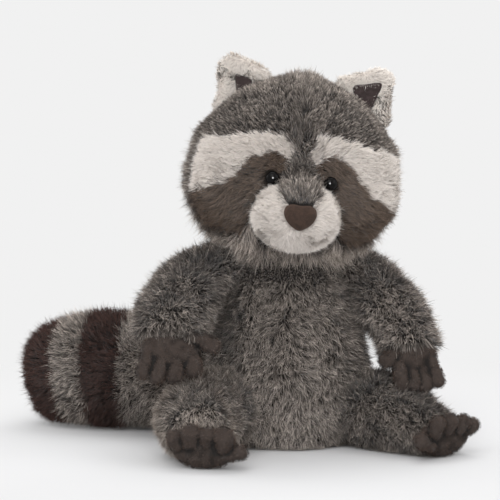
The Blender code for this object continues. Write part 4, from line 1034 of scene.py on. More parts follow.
class PLUSH_OT_stage(PieceOperator):
    """Pale floor, soft studio light and the camera of the photograph"""

    bl_idname = "plush.stage"
    bl_label = "Stage"

    def build(self, context):
        colours = context.scene.plush_colours
        self.floor(colours.floor, colours.backdrop)
        self.world(colours.backdrop)
        for name, place, size, power in LAMPS:
            lamp = self.lamp(name, place, size, power)
        lamp.visible_diffuse = False
        self.camera(context)
        context.scene.view_settings.view_transform = 'Standard'

    def floor(self, colour, backdrop):
        """A round floor: rings of points whose radius grows as a square, so it is fine near the toy."""
        radii = 3.2 * np.linspace(0.0, 1.0, 13)[1:] ** 2
        turns = np.linspace(0.0, 2 * math.pi, 72, endpoint=False)
        flat = np.stack([radii[:, None] * np.cos(turns), radii[:, None] * np.sin(turns),
                         np.zeros((len(radii), 72))], -1)
        index = np.arange(flat.shape[0] * 72).reshape(-1, 72)
        after = np.roll(index, -1, axis=1)
        quads = np.stack([index[:-1], index[1:], after[1:], after[:-1]], -1).reshape(-1, 4)
        fan = np.stack([np.full(72, flat.size // 3), index[0], after[0]], -1)
        material, tree, shader = new_material("floor paper")
        shader.inputs["Base Color"].default_value = opaque(colour)
        shader.inputs["Roughness"].default_value = 0.9
        shader.inputs["Specular IOR Level"].default_value = 0.0
        place = node(tree, 'ShaderNodeTexCoord')
        reach = node(tree, 'ShaderNodeVectorMath', operation='LENGTH')
        link(tree, place.outputs["Object"], reach.inputs[0])
        far = smooth_share(tree, reach.outputs["Value"], 0.08, 0.38)
        seen = self.seen(tree)
        glow = node(tree, 'ShaderNodeEmission')
        glow.inputs["Color"].default_value = opaque(backdrop)
        mix = node(tree, 'ShaderNodeMixShader')
        link(tree, scaled(tree, far, seen), mix.inputs[0])
        link(tree, shader.outputs[0], mix.inputs[1])
        link(tree, glow.outputs[0], mix.inputs[2])
        link(tree, mix.outputs[0], tree.nodes["Material Output"].inputs["Surface"])
        vertices = np.concatenate([flat.reshape(-1, 3), [(0.0, 0.0, 0.0)]])
        new_piece("floor", vertices, [quads, fan], material)

    def seen(self, tree):
        """1 for rays from the camera and rays that reflect or pass through, else 0."""
        path = node(tree, 'ShaderNodeLightPath')
        both = scaled(tree, path.outputs["Is Camera Ray"], path.outputs["Is Glossy Ray"], 'MAXIMUM')
        return scaled(tree, both, path.outputs["Is Transmission Ray"], 'MAXIMUM')

    def world(self, colour):
        world = bpy.data.worlds.new("studio")
        world.use_nodes = True
        bpy.context.scene.world = world
        tree = world.node_tree
        light = tree.nodes["Background"]
        light.inputs["Color"].default_value = (1.0, 1.0, 1.0, 1.0)
        light.inputs["Strength"].default_value = 0.6
        backdrop = node(tree, 'ShaderNodeBackground')
        backdrop.inputs["Color"].default_value = opaque(colour)
        mix = node(tree, 'ShaderNodeMixShader')
        link(tree, self.seen(tree), mix.inputs[0])
        link(tree, light.outputs[0], mix.inputs[1])
        link(tree, backdrop.outputs[0], mix.inputs[2])
        link(tree, mix.outputs[0], tree.nodes["World Output"].inputs["Surface"])

    def lamp(self, name, place, size, power):
        """A soft square lamp that looks at the toy's middle."""
        light = bpy.data.lights.new(name, 'AREA')
        light.size = size
        light.energy = power
        made = bpy.data.objects.new(name, light)
        made.location = place
        aim = Vector(LAMPS_AIM) - Vector(place)
        made.rotation_euler = aim.to_track_quat('-Z', 'Y').to_euler()
        bpy.context.scene.collection.objects.link(made)
        return made

    def camera(self, context):
        """The photograph's camera: 6 degrees above the floor, 15 degrees to the toy's right, from 1.6 m."""
        azimuth, rise = CAMERA_AZIMUTH, CAMERA_RISE
        forward = Vector((math.sin(azimuth) * math.cos(rise), math.cos(azimuth) * math.cos(rise),
                          -math.sin(rise)))
        right = Vector((math.cos(azimuth), -math.sin(azimuth), 0.0))
        up = right.cross(forward)
        data = bpy.data.cameras.new("camera")
        data.sensor_width = SENSOR_WIDTH
        data.lens = SENSOR_WIDTH * FOCAL_PIXELS / PICTURE_PIXELS
        data.clip_end = 20.0
        camera = bpy.data.objects.new("camera", data)
        turn = Matrix((right, up, -forward)).transposed()
        camera.matrix_world = Matrix.Translation(CAMERA_PLACE) @ turn.to_4x4()
        context.scene.collection.objects.link(camera)
        context.scene.camera = camera


class PLUSH_OT_torso(PieceOperator):
    """Pear-shaped torso: backing cloth over the stuffing and its grey fur"""

    bl_idname = "plush.torso"
    bl_label = "Torso"

    def build(self, context):
        grid = soften(torso_grid(pile().skin_depth), 0.7 * MM, 34 * MM, 3)
        grid[..., 2] = np.maximum(grid[..., 2], FLOOR_CLEARANCE)
        stuffed("torso_cloth", grid, "grey backing", "grey_fur", "torso", fill=0.8)

        def length(roots, outward):
            """Short where the chin lies on the neck."""
            return pile().pile * (1.0 - 0.75 * smooth_step(*NECK_HEIGHTS, roots[:, 2]))

        def tone(roots, outward):
            """Lighter at the belly's foot."""
            return 0.46 + 0.12 * smooth_step(*BELLY_HEIGHTS, roots[:, 2])

        coat("torso_fur", "torso", "grey fur", "grey_fur", grid, 100, rows(0, -0.12, -1), lean=0.78,
             share=0.93, length=length, tone=tone)


class PLUSH_OT_head(PieceOperator):
    """Head with its brows, eye patches and chin: one stuffed form and the fur of its panels"""

    bl_idname = "plush.head"
    bl_label = "Head"

    def build(self, context):
        lat, lon = np.meshgrid(np.linspace(-89.0, 89.0, 80), np.linspace(-180.0, 180.0, 132, endpoint=False),
                               indexing='ij')
        local = head_point(lon, lat, -pile().skin_depth)
        grid = soften(from_head(local), 0.6 * MM, 30 * MM, 5)
        brows, patches = {}, {}
        for label, ends in SEAM_ENDS.items():
            top, middle, bottom = (smooth_curve(curve + [end], 30) for curve, end in
                                   zip((BROW_TOP, BROW_BOTTOM, PATCH_BOTTOM), ends))
            brows[label] = np.concatenate([top, middle[::-1]])
            patches[label] = np.concatenate([middle, bottom[::-1]])

        def region(roots, only=None):
            """0 grey fur, 1 brow, 2 patch, 3 bare under the bridge or an eye, 4 bare under the muzzle."""
            local = to_head(roots)
            lon, lat = head_angles(local, -pile().skin_depth)
            lon, lat = lon + 0.9 * waves(roots, 8 * MM, 71), lat + 0.7 * waves(roots, 8 * MM, 72)
            front = local[:, 1] < 0.0
            kind = np.zeros(len(roots), int)
            for label, side in SIDES.items():
                here = side * local[:, 0] >= 0.0
                kind[here & within(side * lon, lat, brows[label])] = 1 if only in (None, label) else 3
                kind[here & within(side * lon, lat, patches[label])] = 2 if only in (None, label) else 3
            kind[front & (muzzle_share(local[:, 0], local[:, 2]) < 0.95) & (local[:, 2] > -44 * MM)] = 4
            kind[front & (np.abs(local[:, 0]) < bridge_half_width(local[:, 2]))] = 3
            kind[near_eye(roots)] = 3
            return kind

        colours = context.scene.plush_colours
        palette = np.array([opaque(colour) for colour in (colours.grey_root, colours.cream_root,
                                                          colours.brown_root, colours.brown_root,
                                                          colours.cream_root)])
        cloth = closed_grid("head_cloth", grid, furs()["face backing"])
        layer = cloth.data.color_attributes.new("cloth", 'FLOAT_COLOR', 'POINT')
        painted = CLOTH_LIGHTENING * palette[region(mesh_points(cloth))]
        layer.data.foreach_set("color", painted.astype(np.float32).ravel())
        settle(cloth, "grey_fur", "head", fill=0.9)

        def grey_comb(roots, outward):
            """Up the forehead, over the crown, down the back, outwards at the sides, and down at the chin."""
            local, normal = to_head(roots), outward @ HEAD_TURN
            outwards = np.sign(local[:, 0:1]) * np.array([(1.0, 0.0, 0.0)])
            over = np.cross(normal, (1.0, 0.0, 0.0))
            aside = 0.55 * outwards
            back = np.abs(normal[:, 0:1]) * np.array([(0.0, 0.7, -0.45)])
            chin = smooth_step(-12 * MM, -34 * MM, local[:, 2:3])
            under = smooth_step(-40 * MM, -54 * MM, local[:, 2:3])
            down = np.array([(0.0, -0.3, -1.0)]) + under * np.array([(0.0, -0.9, 0.5)]) \
                + 0.5 * outwards * np.abs(local[:, 0:1]) / HEAD_HALF_WIDTH
            return (over + aside + back) * (1 - chin) @ HEAD_TURN.T + down * chin @ HEAD_TURN.T

        def painted_light_grey_tone(roots, outward):
            """Painted light: lighter over the crown, where the top light falls, and at the jowls and chin,
            against their shade under the muzzle.
            """
            local = to_head(roots)
            light = 0.10 * smooth_step(24 * MM, 60 * MM, local[:, 2]) + 0.42 * chin(local)
            return 0.40 + light + 0.05 * waves(roots, 30 * MM, 21)

        def chin(local):
            """Share of the way into the jowls and chin."""
            return smooth_step(-18 * MM, -40 * MM, local[:, 2])

        def below(local):
            """Share of the way to the head's underside."""
            return smooth_step(-44 * MM, -54 * MM, local[:, 2])

        def grey_length(roots, outward):
            """Longer at the jowls and chin, short around the ears' bases."""
            local = to_head(roots)
            base = np.stack([np.abs(local[:, 0]), local[:, 2]], -1) - EAR_CENTRE - np.array((-6, -8)) * MM
            ears = smooth_step(38 * MM, 24 * MM, np.linalg.norm(base, axis=1))
            return pile().pile * (0.95 + 0.65 * chin(local) + 0.5 * below(local)) * (1.0 - 0.5 * ears)

        def grey_lean(roots, outward):
            """Flatter towards the jowls, and standing out of the head's underside."""
            local = to_head(roots)
            return 0.5 + 0.3 * chin(local) - 0.55 * below(local)

        def front(roots):
            return to_head(roots)[:, 1] < -4 * MM

        coat("head_fur_front", "head", "grey fur", "grey_fur", grid, 200, grey_comb, tone=painted_light_grey_tone,
             length=grey_length, lean=grey_lean, shade=0.3,
             keep=lambda roots, outward: (region(roots) == 0) & front(roots))
        coat("head_fur_back", "head", "grey fur", "grey_fur", grid, 210, grey_comb, tone=painted_light_grey_tone,
             lean=0.6, share=0.82,
             length=grey_length,
             keep=lambda roots, outward: (region(roots) == 0) & ~front(roots))
        for number, (label, side) in enumerate(SIDES.items()):
            aside = HEAD_TURN @ np.array((side, 0.0, 0.12))
            below = HEAD_TURN @ np.array((side, 0.1, -0.55))
            coat("brow_fur_" + label, "head", "cream fur", "cream_fur", grid, 220 + number, rows(*aside),
                 keep=lambda roots, outward, own=label: region(roots, own) == 1,
                 length=1.4 * pile().short_pile, share=1.9, lean=0.75, nodes=("brow_panel_" + label,),
                 tuft=1.7 * MM, gather=(0.06, 0.3), stray=0.27, guard=0.12)
            coat("patch_fur_" + label, "head", "brown fur", "brown_fur", grid, 230 + number, rows(*below),
                 keep=lambda roots, outward, own=label: region(roots, own) == 2, length=0.85 * pile().pile,
                 share=1.3, lean=0.8, nodes=("eye_patch_" + label,), stray=0.3, tuft=2.0 * MM)


def smooth_step(low, high, value):
    """Smooth step of values from 0 at low to 1 at high."""
    t = np.clip((value - low) / (high - low), 0.0, 1.0)
    return t * t * (3.0 - 2.0 * t)


def eye_place(label):
    """Place of an eye on the head's surface and the direction that it looks in, in the head's frame."""
    lon, lat, step = SIDES[label] * EYE_LONGITUDE[label], EYE_LATITUDE, 0.5
    across = head_point(lon + step, lat) - head_point(lon - step, lat)
    lift = head_point(lon, lat + step) - head_point(lon, lat - step)
    return head_point(lon, lat), unit(np.cross(across, lift))


def near_eye(points):
    """Whether places on the toy are in an eye's clearing."""
    gaps = [np.linalg.norm(points - from_head(eye_place(label)[0]), axis=1) for label in SIDES]
    return np.minimum(*gaps) < EYE_CLEARING


class PLUSH_OT_muzzle(PieceOperator):
    """Stuffed cream muzzle, the grey strip that runs over it to the nose, and their fur"""

    bl_idname = "plush.muzzle"
    bl_label = "Muzzle"

    def build(self, context):
        inset = 0.75 * pile().skin_depth
        angle, turn = np.meshgrid(np.linspace(-0.6, 0.495 * math.pi, 48),
                                  np.linspace(0.0, 2 * math.pi, 90, endpoint=False), indexing='ij')
        ring = np.cos(np.maximum(angle, 0.0))
        height = MUZZLE_HALF_HEIGHT - inset + MUZZLE_LIFT * np.minimum(np.sin(turn), 0.0)
        local = MUZZLE_CENTRE + np.stack([
            (MUZZLE_HALF_WIDTH - inset) * ring * np.cos(turn),
            -np.where(angle < 0.0, 30 * MM * angle, (MUZZLE_REACH - inset) * np.sin(angle)),
            height * ring * np.sin(turn)], -1)
        grid = from_head(local)
        stuffed("muzzle_cloth", grid, "cream backing", "cream_fur", "muzzle", fill=0.9)
        loop = 0.94 * nose_loop(48)

        def on_nose(local):
            return within(local[:, 0], local[:, 2] - NOSE_HEIGHT, loop)

        def keep(roots, outward):
            local = to_head(roots)
            grey = np.abs(local[:, 0]) < bridge_half_width(local[:, 2])
            return ~grey & ~on_nose(local)

        def radial(roots, outward):
            """Away from the nose on every side."""
            local = to_head(roots)
            away = local - np.array((0.0, 0.0, NOSE_HEIGHT - 1 * MM))
            return unit(away * (1, 0, 1)) @ HEAD_TURN.T

        coat("muzzle_fur", "muzzle", "cream fur", "cream_fur", grid, 300, radial, keep=keep, share=1.9,
             length=lambda roots, outward: 1.15 * pile().short_pile
             * (0.75 + 0.25 * smooth_step(0.1, 0.9, muzzle_share(*to_head(roots)[:, [0, 2]].T))),
             lean=0.8, stray=0.18, tuft=1.5 * MM, gather=(0.05, 0.3), guard=0.06)
        self.bridge(grid)

    def bridge(self, muzzle):
        """The grey strip: a sheet that follows the soft step from the head over the muzzle."""
        share, across = np.meshgrid(np.linspace(0.0, 1.0, 40), np.linspace(-1.0, 1.0, 30), indexing='ij')
        z = BRIDGE_TOP + 1 * MM + (BRIDGE_BOTTOM - BRIDGE_TOP - 1 * MM) * share
        x = across * np.interp(share, np.linspace(0, 1, len(BRIDGE_HALF_WIDTHS)), BRIDGE_HALF_WIDTHS)
        depth = face_front(x, z) - 0.7 * pile().skin_depth
        top = np.stack([x, -depth, z], -1)
        below = np.stack([x, -depth + 4 * MM, z], -1)[:, ::-1]
        ring = from_head(np.concatenate([top, below], axis=1))
        stuffed("bridge_cloth", ring, "grey backing", "grey_fur", "nose_bridge", fill=0.7)
        loop = 1.02 * nose_loop(48)

        def keep(roots, outward):
            local = to_head(roots)
            clear = local[:, 1] < -(face_front(local[:, 0], local[:, 2]) - 0.85 * pile().skin_depth)
            return clear & ~near_eye(roots) & ~within(local[:, 0], local[:, 2] - NOSE_HEIGHT, loop)

        def upward(roots, outward):
            local = to_head(roots)
            aside = local[:, 0] / (12 * MM)
            return unit(np.stack([aside, 0 * aside, 0 * aside + 1.1], -1)) @ HEAD_TURN.T

        coat("bridge_fur", "muzzle", "grey fur", "grey_fur", ring, 320, upward, keep=keep, share=1.6,
             length=0.68 * pile().pile, lean=0.85, tone=0.42, tuft=1.9 * MM)


class PLUSH_OT_ears(PieceOperator):
    """Cream ears with a dark suede lining in the hollow"""

    bl_idname = "plush.ears"
    bl_label = "Ears"

    def build(self, context):
        colours = context.scene.plush_colours
        lining_suede = suede_material("ear suede", colours.ear_suede, nap=260.0, edge=0.0)
        inset = 0.7 * pile().ear_pile
        loop = smooth_curve(EAR_OUTLINE, 84, closed=True)
        shrink = 1.0 - inset / np.linalg.norm(loop, axis=1)[:, None]
        shares = np.sin(np.linspace(0.02, 0.5 * math.pi, 26))[:, None, None]
        front, back = ear_faces(shares * loop)
        rim = np.sqrt(np.maximum(1.0 - shares[..., 0] ** 3, 0.0))
        flat, front, back = shares * loop * shrink, front + inset * rim, back - inset * rim
        for number, label in enumerate(SIDES):
            grid = np.concatenate([on_ear(label, flat, front), on_ear(label, flat, back)[-2::-1]])
            stuffed("ear_cloth_" + label, grid, "cream backing", "cream_fur", "ear_" + label, fill=0.6)
            lining = smooth_curve(LINING_OUTLINE[label], 60, closed=True)
            bare = 0.95 * (lining - lining.mean(0)) + lining.mean(0)

            def keep(roots, outward, label=label, bare=bare):
                in_front = (outward @ HEAD_TURN)[:, 1] < 0.1
                return ~(in_front & within(*ear_spoke(label, roots).T, bare))

            def outwards(roots, outward, label=label):
                """From the ear's inner base towards its rim."""
                away = ear_spoke(label, roots) - np.array((-9, -16)) * MM
                return np.stack([SIDES[label] * away[:, 0], 0 * away[:, 0], away[:, 1]], -1) @ HEAD_TURN.T

            coat("ear_fur_" + label, "ear", "ear fur", "cream_fur", grid, 400 + number, outwards, keep=keep,
                 length=1.15 * pile().ear_pile, share=2.4, lean=0.8, stray=0.17, width=0.38 * MM,
                 tuft=1.6 * MM, gather=(0.05, 0.3), guard=0.1, shade=0.8)
            self.lining(label, lining, lining_suede)

    def lining(self, label, outline, material):
        """A suede pad: its outline shrunk inwards in rings, on the hollow's curve, with a round edge."""
        middle = outline.mean(0)
        shares = np.concatenate([np.linspace(0.03, 0.94, 14), [0.985, 1.0, 0.985], [0.9, 0.5, 0.05]])
        lift = np.concatenate([np.full(14, 0.8), [0.62, 0.2, -0.3], [-0.8, -0.8, -0.8]]) * MM
        flat = middle + shares[:, None, None] * (outline - middle)
        front, _ = ear_faces(flat)
        piece = closed_grid("ear_suede_" + label, on_ear(label, flat, front - lift[:, None]), material)
        # A flat 0.5: the lining gets neither painted shade nor painted sheen.
        mark_crease_shade_and_sheen(piece, lambda points: np.full(len(points), 0.5))
        settle(piece, "ear_suede", "ear_lining_" + label)


def mark_crease_shade_and_sheen(piece, share):
    """Stores the suede's painted shade and sheen at each vertex, for its material: below 0.5 a crease painted
    darker, above 0.5 a bulge painted paler.
    """
    mesh = piece.data
    points = np.empty(len(mesh.vertices) * 3)
    mesh.vertices.foreach_get("co", points)
    attribute = mesh.attributes.new("crease_shade_and_sheen", 'FLOAT', 'POINT')
    attribute.data.foreach_set("value", share(points.reshape(-1, 3)).astype(np.float32))


class PLUSH_OT_eyes(PieceOperator):
    """Black glossy eyes, and the finish of the washers that hold them"""

    bl_idname = "plush.eyes"
    bl_label = "Eyes"

    def build(self, context):
        features = context.scene.plush_features
        gloss, nylon = eye_material(), washer_material()
        for label in SIDES:
            centre, look = eye_place(label)
            dome = np.linspace(0.0, math.radians(86.0), 22)
            along = np.concatenate([[-13.0 * MM, -12.6 * MM, -1.3 * MM, -1.0 * MM, -0.6 * MM],
                                    features.eye_height * np.sin(dome)]) + EYE_LIFT
            radius = np.concatenate([[1.6 * MM, 2.0 * MM, 2.0 * MM, features.eye_radius - 0.5 * MM,
                                      features.eye_radius - 0.1 * MM], features.eye_radius * np.cos(dome)])
            across = unit(np.cross(look, (0.0, 0.0, 1.0)))
            lift = np.cross(across, look)
            turns = np.linspace(0.0, 2 * math.pi, 48, endpoint=False)[None, :, None]
            local = centre + look * along[:, None, None] + radius[:, None, None] \
                * (np.cos(turns) * across + np.sin(turns) * lift)
            settle(closed_grid("eye_dome_" + label, from_head(local), gloss), "black_plastic", "eye_" + label)
            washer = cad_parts["eye_washer_" + label]
            washer.data.materials.clear()
            washer.data.materials.append(nylon)


class PLUSH_OT_nose(PieceOperator):
    """Padded brown suede nose"""

    bl_idname = "plush.nose"
    bl_label = "Nose"

    def build(self, context):
        features, colours = context.scene.plush_features, context.scene.plush_colours
        suede = suede_material("nose suede", colours.nose_suede, nap=300.0, edge=0.35)
        loop = nose_loop(96)
        shares = np.concatenate([[0.05, 0.5, 0.97, 1.0], np.sin(np.linspace(0.5 * math.pi, 0.02, 20))[1:]])
        lift = np.concatenate([[-2.0 * MM, -2.0 * MM, -2.0 * MM, 0.0],
                               features.nose_crown * (1.0 - shares[4:] ** 3.2)])
        flat = shares[:, None, None] * loop
        x, z = flat[..., 0], flat[..., 1] + NOSE_HEIGHT
        local = np.stack([x, -(muzzle_front(x, z) + lift[:, None]), z], -1)
        piece = closed_grid("nose_pad", from_head(local), suede)
        loop_reach = np.linalg.norm(loop, axis=1)
        loop_turns = np.arctan2(loop[:, 1], loop[:, 0])
        order = np.argsort(loop_turns)

        # Painted sheen: the value rises towards the nose's rim, so the suede paints the rim paler.
        def rim(points):
            local = to_head(points)
            flat = np.stack([local[:, 0], local[:, 2] - NOSE_HEIGHT], -1)
            reach = np.interp(np.arctan2(flat[:, 1], flat[:, 0]), loop_turns[order], loop_reach[order],
                              period=2 * math.pi)
            return 0.5 + 0.5 * smooth_step(0.8, 1.0, np.linalg.norm(flat, axis=1) / reach)

        mark_crease_shade_and_sheen(piece, rim)
        settle(piece, "nose_suede", "nose", fill=0.9)


class PLUSH_OT_arms(PieceOperator):
    """Stuffed fur sleeves from the shoulders to the flared cuffs"""

    bl_idname = "plush.arms"
    bl_label = "Arms"

    def build(self, context):
        for number, label in enumerate(SIDES):
            radii = ARM_RADII[label]
            grid = tube_grid(ARM_SPINE[label], radii, 42, 64, radii[0], CUFF_ROUNDING, -pile().skin_depth)
            grid = soften(grid, 0.6 * MM, 28 * MM, 11 + number)
            stuffed("arm_cloth_" + label, grid, "grey backing", "grey_fur", "arm_" + label, fill=0.8)
            spine = smooth_curve(ARM_SPINE[label], 30)

            def comb(roots, outward, spine=spine):
                """Along the sleeve to the cuff, and down."""
                return along_spine(roots, spine) + np.array([(0.0, 0.0, -0.45)])

            # Painted light: the arms' fur tones are raised and set apart, the left lighter, to match how
            # light falls on each arm.
            coat("arm_fur_" + label, "arm_" + label, "grey fur", "grey_fur", grid, 500 + number, comb,
                 lean=0.6, tone={"right": 0.5, "left": 0.58}[label])


def along_spine(points, spine):
    """Direction of the spine at its point nearest to each point."""
    tangents = unit(np.gradient(spine, axis=0))
    nearest = ((points[:, None] - spine) ** 2).sum(-1).argmin(1)
    return tangents[nearest]


class PLUSH_OT_legs(PieceOperator):
    """Stuffed fur legs, flat where they rest on the floor"""

    bl_idname = "plush.legs"
    bl_label = "Legs"

    def build(self, context):
        for number, label in enumerate(SIDES):
            spine, radii = LEG_SPINE[label], LEG_RADII[label]
            grid = tube_grid(spine, radii, 44, 66, radii[0], ANKLE_ROUNDING, -pile().skin_depth)
            grid = soften(grid, 0.6 * MM, 28 * MM, 31 + number)
            grid[..., 2] = np.maximum(grid[..., 2], FLOOR_CLEARANCE)
            stuffed("leg_cloth_" + label, grid, "grey backing", "grey_fur", "leg_" + label, fill=0.8)
            line = smooth_curve(spine, 30)

            def comb(roots, outward, line=line):
                """Along the leg to the ankle, and down its sides."""
                return along_spine(roots, line) + np.array([(0.0, 0.0, -0.4)])

            # Painted light: the right leg's fur is painted much lighter than the left's, lit and shaded
            # copies of one grey fur.
            coat("leg_fur_" + label, "leg_" + label, "grey fur", "grey_fur", grid, 600 + number, comb,
                 lean=0.72, tone={"right": 0.74, "left": 0.43}[label], share=1.15)


class PLUSH_OT_tail(PieceOperator):
    """Fat tail of four sewn bands of grey and dark fur"""

    bl_idname = "plush.tail"
    bl_label = "Tail"

    def build(self, context):
        grid = tube_grid(TAIL_SPINE, TAIL_RADII, 76, 80, 4 * MM, TAIL_END_ROUNDING, -pile().skin_depth,
                         blunt=TAIL_BLUNTNESS)
        grid = soften(grid, 0.7 * MM, 32 * MM, 41)
        grid[..., 2] = np.maximum(grid[..., 2], FLOOR_CLEARANCE)
        stuffed("tail_cloth", grid, "dark backing", "grey_fur", "tail_root", "tail_band_dark",
                "tail_band_grey", "tail_tip", fill=0.8)
        line = smooth_curve(TAIL_SPINE, 160)

        def middle(points):
            """X of the middle line at its point nearest to each point, a little uneven as hand sewing is."""
            nearest = ((points[:, None] - line) ** 2).sum(-1).argmin(1)
            return line[nearest, 0] + 0.8 * MM * waves(points, 24 * MM, 43)

        def comb(roots, outward):
            """Along the tail to its tip."""
            return along_spine(roots, line) + 0.15 * np.array([(0.0, 0.0, -1.0)])

        limits = (1.0,) + TAIL_SEAMS + (-1.0,)
        bands = (("tail_root", "grey fur", "grey_fur"), ("tail_band_dark", "dark fur", "brown_fur"),
                 ("tail_band_grey", "grey fur", "grey_fur"), ("tail_tip", "dark fur", "brown_fur"))
        for number, (name, material, slot) in enumerate(bands):
            start, end = limits[number], limits[number + 1]
            coat(name + "_fur", "tail", material, slot, grid, 700 + number, comb, lean=0.55,
                 keep=lambda roots, outward: (middle(roots) <= start) & (middle(roots) > end),
                 tone=0.58, share=0.9)


def paw_piece(name, centre, matrix, halves, digits, material, slot, replaced, sleeve, salt):
    """A suede paw: an oval pad and its digits joined on a voxel grid, smoothed, and given a short nap.

    Each digit is a round tube along its own bent line, a little fuller at its tip.
    """
    lat, turn = np.meshgrid(np.radians(np.linspace(-88, 88, 25)),
                            np.linspace(0, 2 * math.pi, 48, endpoint=False), indexing='ij')
    grids = [halves * np.stack([np.cos(lat) * np.cos(turn), np.sin(lat), np.cos(lat) * np.sin(turn)], -1)]
    for line, radius in digits:
        grids.append(tube_grid(line, radius * np.array([1.08, 1.02, 1.05]), 14, 24, radius, radius))
    parts = [closed_grid("part", grid @ matrix.T + centre, material) for grid in grids]
    joined = bpy.data.objects.new(name, bpy.data.meshes.new(name))
    bpy.context.scene.collection.objects.link(joined)
    bpy.ops.object.select_all(action='DESELECT')
    for piece in (*parts, joined):
        piece.select_set(True)
    bpy.context.view_layer.objects.active = joined
    bpy.ops.object.join()
    remesh = joined.modifiers.new("join", 'REMESH')
    remesh.mode = 'VOXEL'
    remesh.voxel_size = bpy.context.scene.plush_features.paw_voxel
    smooth = joined.modifiers.new("soft", 'SMOOTH')
    smooth.factor = 0.5
    smooth.iterations = 4
    for modifier in list(joined.modifiers):
        bpy.ops.object.modifier_apply(modifier=modifier.name)
    joined.data.materials.clear()
    joined.data.materials.append(material)
    joined.data.shade_smooth()
    points = mesh_points(joined)
    points += 0.25 * MM * waves(points, 9 * MM, 61)[:, None] * mesh_normals(joined)
    points[:, 2] = np.maximum(points[:, 2], FLOOR_CLEARANCE)
    joined.data.vertices.foreach_set("co", points.ravel())
    joined.data.update()
    # Painted shade and sheen from the paw's shape: creases below 0.5 are painted darker, and bulges above 0.5
    # are painted paler.
    crease_shade_and_sheen = np.clip(0.5 + bulge(joined, 60) / (0.9 * MM), 0.0, 1.0)
    mark_crease_shade_and_sheen(joined, lambda points: crease_shade_and_sheen)
    settle(joined, slot, replaced, fill=0.7)
    nap(name + "_nap", joined, slot, sleeve, crease_shade_and_sheen, salt)


def nap(name, piece, slot, sleeve, crease_shade_and_sheen, salt):
    """Short fibres that stand on a suede piece where its sleeve doesn't cover it.

    A root takes a face with a chance in proportion to its area, and a place in the face by three random
    shares that add up to one; fibres are painted paler, a painted sheen, where the suede bulges.
    """
    piece.data.calc_loop_triangles()
    corners = np.empty(len(piece.data.loop_triangles) * 3, np.int32)
    piece.data.loop_triangles.foreach_get("vertices", corners)
    corners = corners.reshape(-1, 3)
    points, normals = mesh_points(piece), mesh_normals(piece)
    first, second, third = points[corners].transpose(1, 0, 2)
    area = 0.5 * np.linalg.norm(np.cross(second - first, third - first), axis=1)
    rng = np.random.default_rng(pile().seed + salt)
    total = np.cumsum(area)
    count = int(total[-1] / MM**2 * pile().nap_density)
    face = np.minimum(np.searchsorted(total, rng.random(count) * total[-1]), len(area) - 1)
    shares = rng.dirichlet((1.0, 1.0, 1.0), count)
    roots = (points[corners[face]] * shares[..., None]).sum(1)
    outward = unit((normals[corners[face]] * shares[..., None]).sum(1))
    share = (crease_shade_and_sheen[corners[face]] * shares).sum(1)
    stays = (depth_in_tube(roots, *sleeve) < pile().skin_depth) & (roots[:, 2] > 1 * MM)
    roots, outward, share = roots[stays], outward[stays], share[stays]
    combs = wave_vectors(roots, 9 * MM, salt) + np.array([(0.0, 0.0, -0.6)])
    length = pile().nap * (0.7 + 1.1 * share)
    # Painted sheen: the fibres' tone rises, painting them paler, where the suede bulges.
    fibres = strands(name, furs()["suede nap"], roots, outward, combs, length, 0.72 * pile().width,
                     np.full(len(roots), 0.7), 0.08 + 0.85 * share, rng, gather=(0.0, 0.3),
                     tuft_size=1.2 * MM, stray=0.3, salt=salt, shade=0.6, guard=0.05)
    settle(fibres, slot)


def mesh_points(piece):
    """The piece's vertices as one array."""
    points = np.empty(len(piece.data.vertices) * 3)
    piece.data.vertices.foreach_get("co", points)
    return points.reshape(-1, 3)


def mesh_normals(piece):
    """The normals at the piece's vertices as one array."""
    normals = np.empty(len(piece.data.vertices) * 3)
    piece.data.vertex_normals.foreach_get("vector", normals)
    return normals.reshape(-1, 3)


def bulge(piece, rounds):
    """How far each vertex stands out of its own neighbourhood, below zero in a crease.

    The neighbourhood's place is the vertices' mean with their neighbours, taken again and again.
    """
    ends = np.empty(len(piece.data.edges) * 2, np.int32)
    piece.data.edges.foreach_get("vertices", ends)
    first, second = ends.reshape(-1, 2).T
    points = mesh_points(piece)
    count = 1.0 + np.bincount(first, minlength=len(points)) + np.bincount(second, minlength=len(points))
    flat = points.copy()
    for _ in range(rounds):
        total = flat.copy()
        for axis in range(3):
            total[:, axis] += np.bincount(first, flat[second, axis], len(points))
            total[:, axis] += np.bincount(second, flat[first, axis], len(points))
        flat = total / count[:, None]
    return ((points - flat) * mesh_normals(piece)).sum(1)


def digit_lines(side, roots, tips, radii, reaches, bend):
    """A paw's digits side by side: each bent line from root to tip, and its radius.

    The bend holds the root's depth and height, the middle's depth and share of the reach, and the
    tip's depth; the line ends a radius before the reach, where the digit's round end begins.
    """
    root_depth, root_height, middle_depth, middle_share, tip_depth = bend
    lines = []
    for root, tip, radius, reach in zip(roots, tips, radii, reaches):
        end = reach - math.copysign(radius, reach)
        lines.append((np.array([(side * root, root_depth, root_height),
                                (side * 0.5 * (root + tip), middle_depth, middle_share * end),
                                (side * tip, tip_depth, end)]), radius))
    return lines


class PLUSH_OT_hands(PieceOperator):
    """Brown suede hands with four fingers and a thumb"""

    bl_idname = "plush.hands"
    bl_label = "Hands"

    def build(self, context):
        suede = paw_suede()
        for number, (label, side) in enumerate(SIDES.items()):
            digits = digit_lines(side, FINGER_ROOTS[label], FINGER_TIPS[label], FINGER_RADII[label],
                                 -FINGER_DROPS[label], FINGER_BEND)
            digits.append((THUMB_LINE[label] * (side, 1, 1), THUMB_RADIUS[label]))
            paw_piece("hand_suede_" + label, *hand_frame(label), PALM_HALVES[label], digits, suede,
                      "brown_suede", "hand_" + label, (ARM_SPINE[label], ARM_RADII[label]), 800 + number)


def paw_suede():
    """The hands' and feet's suede, made once."""
    return bpy.data.materials.get("paw suede") or \
        suede_material("paw suede", bpy.context.scene.plush_colours.suede, sheen=0.12)


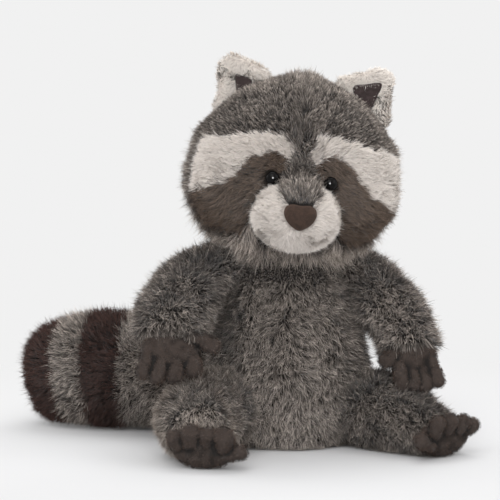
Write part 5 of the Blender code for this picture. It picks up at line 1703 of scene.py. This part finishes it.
class PLUSH_OT_feet(PieceOperator):
    """Brown suede feet with five toes"""

    bl_idname = "plush.feet"
    bl_label = "Feet"

    def build(self, context):
        suede = paw_suede()
        for number, (label, side) in enumerate(SIDES.items()):
            digits = digit_lines(side, TOE_ROOTS[label], TOE_TIPS[label], TOE_RADII[label],
                                 TOE_RISES[label], TOE_BEND)
            digits.append((BIG_TOE_LINE[label] * (side, 1, 1), BIG_TOE_RADIUS[label]))
            paw_piece("foot_suede_" + label, *foot_frame(label), SOLE_HALVES[label], digits, suede,
                      "brown_suede", "foot_" + label, (LEG_SPINE[label], LEG_RADII[label]), 810 + number)


OPERATORS = (PLUSH_OT_stage, PLUSH_OT_torso, PLUSH_OT_head, PLUSH_OT_muzzle, PLUSH_OT_ears, PLUSH_OT_eyes,
             PLUSH_OT_nose, PLUSH_OT_arms, PLUSH_OT_hands, PLUSH_OT_legs, PLUSH_OT_feet, PLUSH_OT_tail)
GROUPS = {"plush_pile": PlushPile, "plush_colours": PlushColours, "plush_features": PlushFeatures}


class PLUSH_PT_panel(bpy.types.Panel):
    """The toy's sizes and colours, and a button for each piece"""

    bl_idname = "PLUSH_PT_panel"
    bl_label = "Plush raccoon"
    bl_space_type = 'VIEW_3D'
    bl_region_type = 'UI'
    bl_category = "Plush"

    def draw(self, context):
        for name, kind in GROUPS.items():
            column = self.layout.column(align=True)
            for key in kind.__annotations__:
                column.prop(getattr(context.scene, name), key)
        for operator in OPERATORS:
            self.layout.operator(operator.bl_idname)


def register():
    for kind in (*GROUPS.values(), *OPERATORS, PLUSH_PT_panel):
        bpy.utils.register_class(kind)
    for name, kind in GROUPS.items():
        setattr(bpy.types.Scene, name, PointerProperty(type=kind))


def unregister():
    for name in GROUPS:
        delattr(bpy.types.Scene, name)
    for kind in reversed((*GROUPS.values(), *OPERATORS, PLUSH_PT_panel)):
        bpy.utils.unregister_class(kind)


def main():
    """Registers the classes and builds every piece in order."""
    register()
    for operator in OPERATORS:
        area, name = operator.bl_idname.split(".")
        getattr(getattr(bpy.ops, area), name)()


if __name__ == "__main__":
    main()
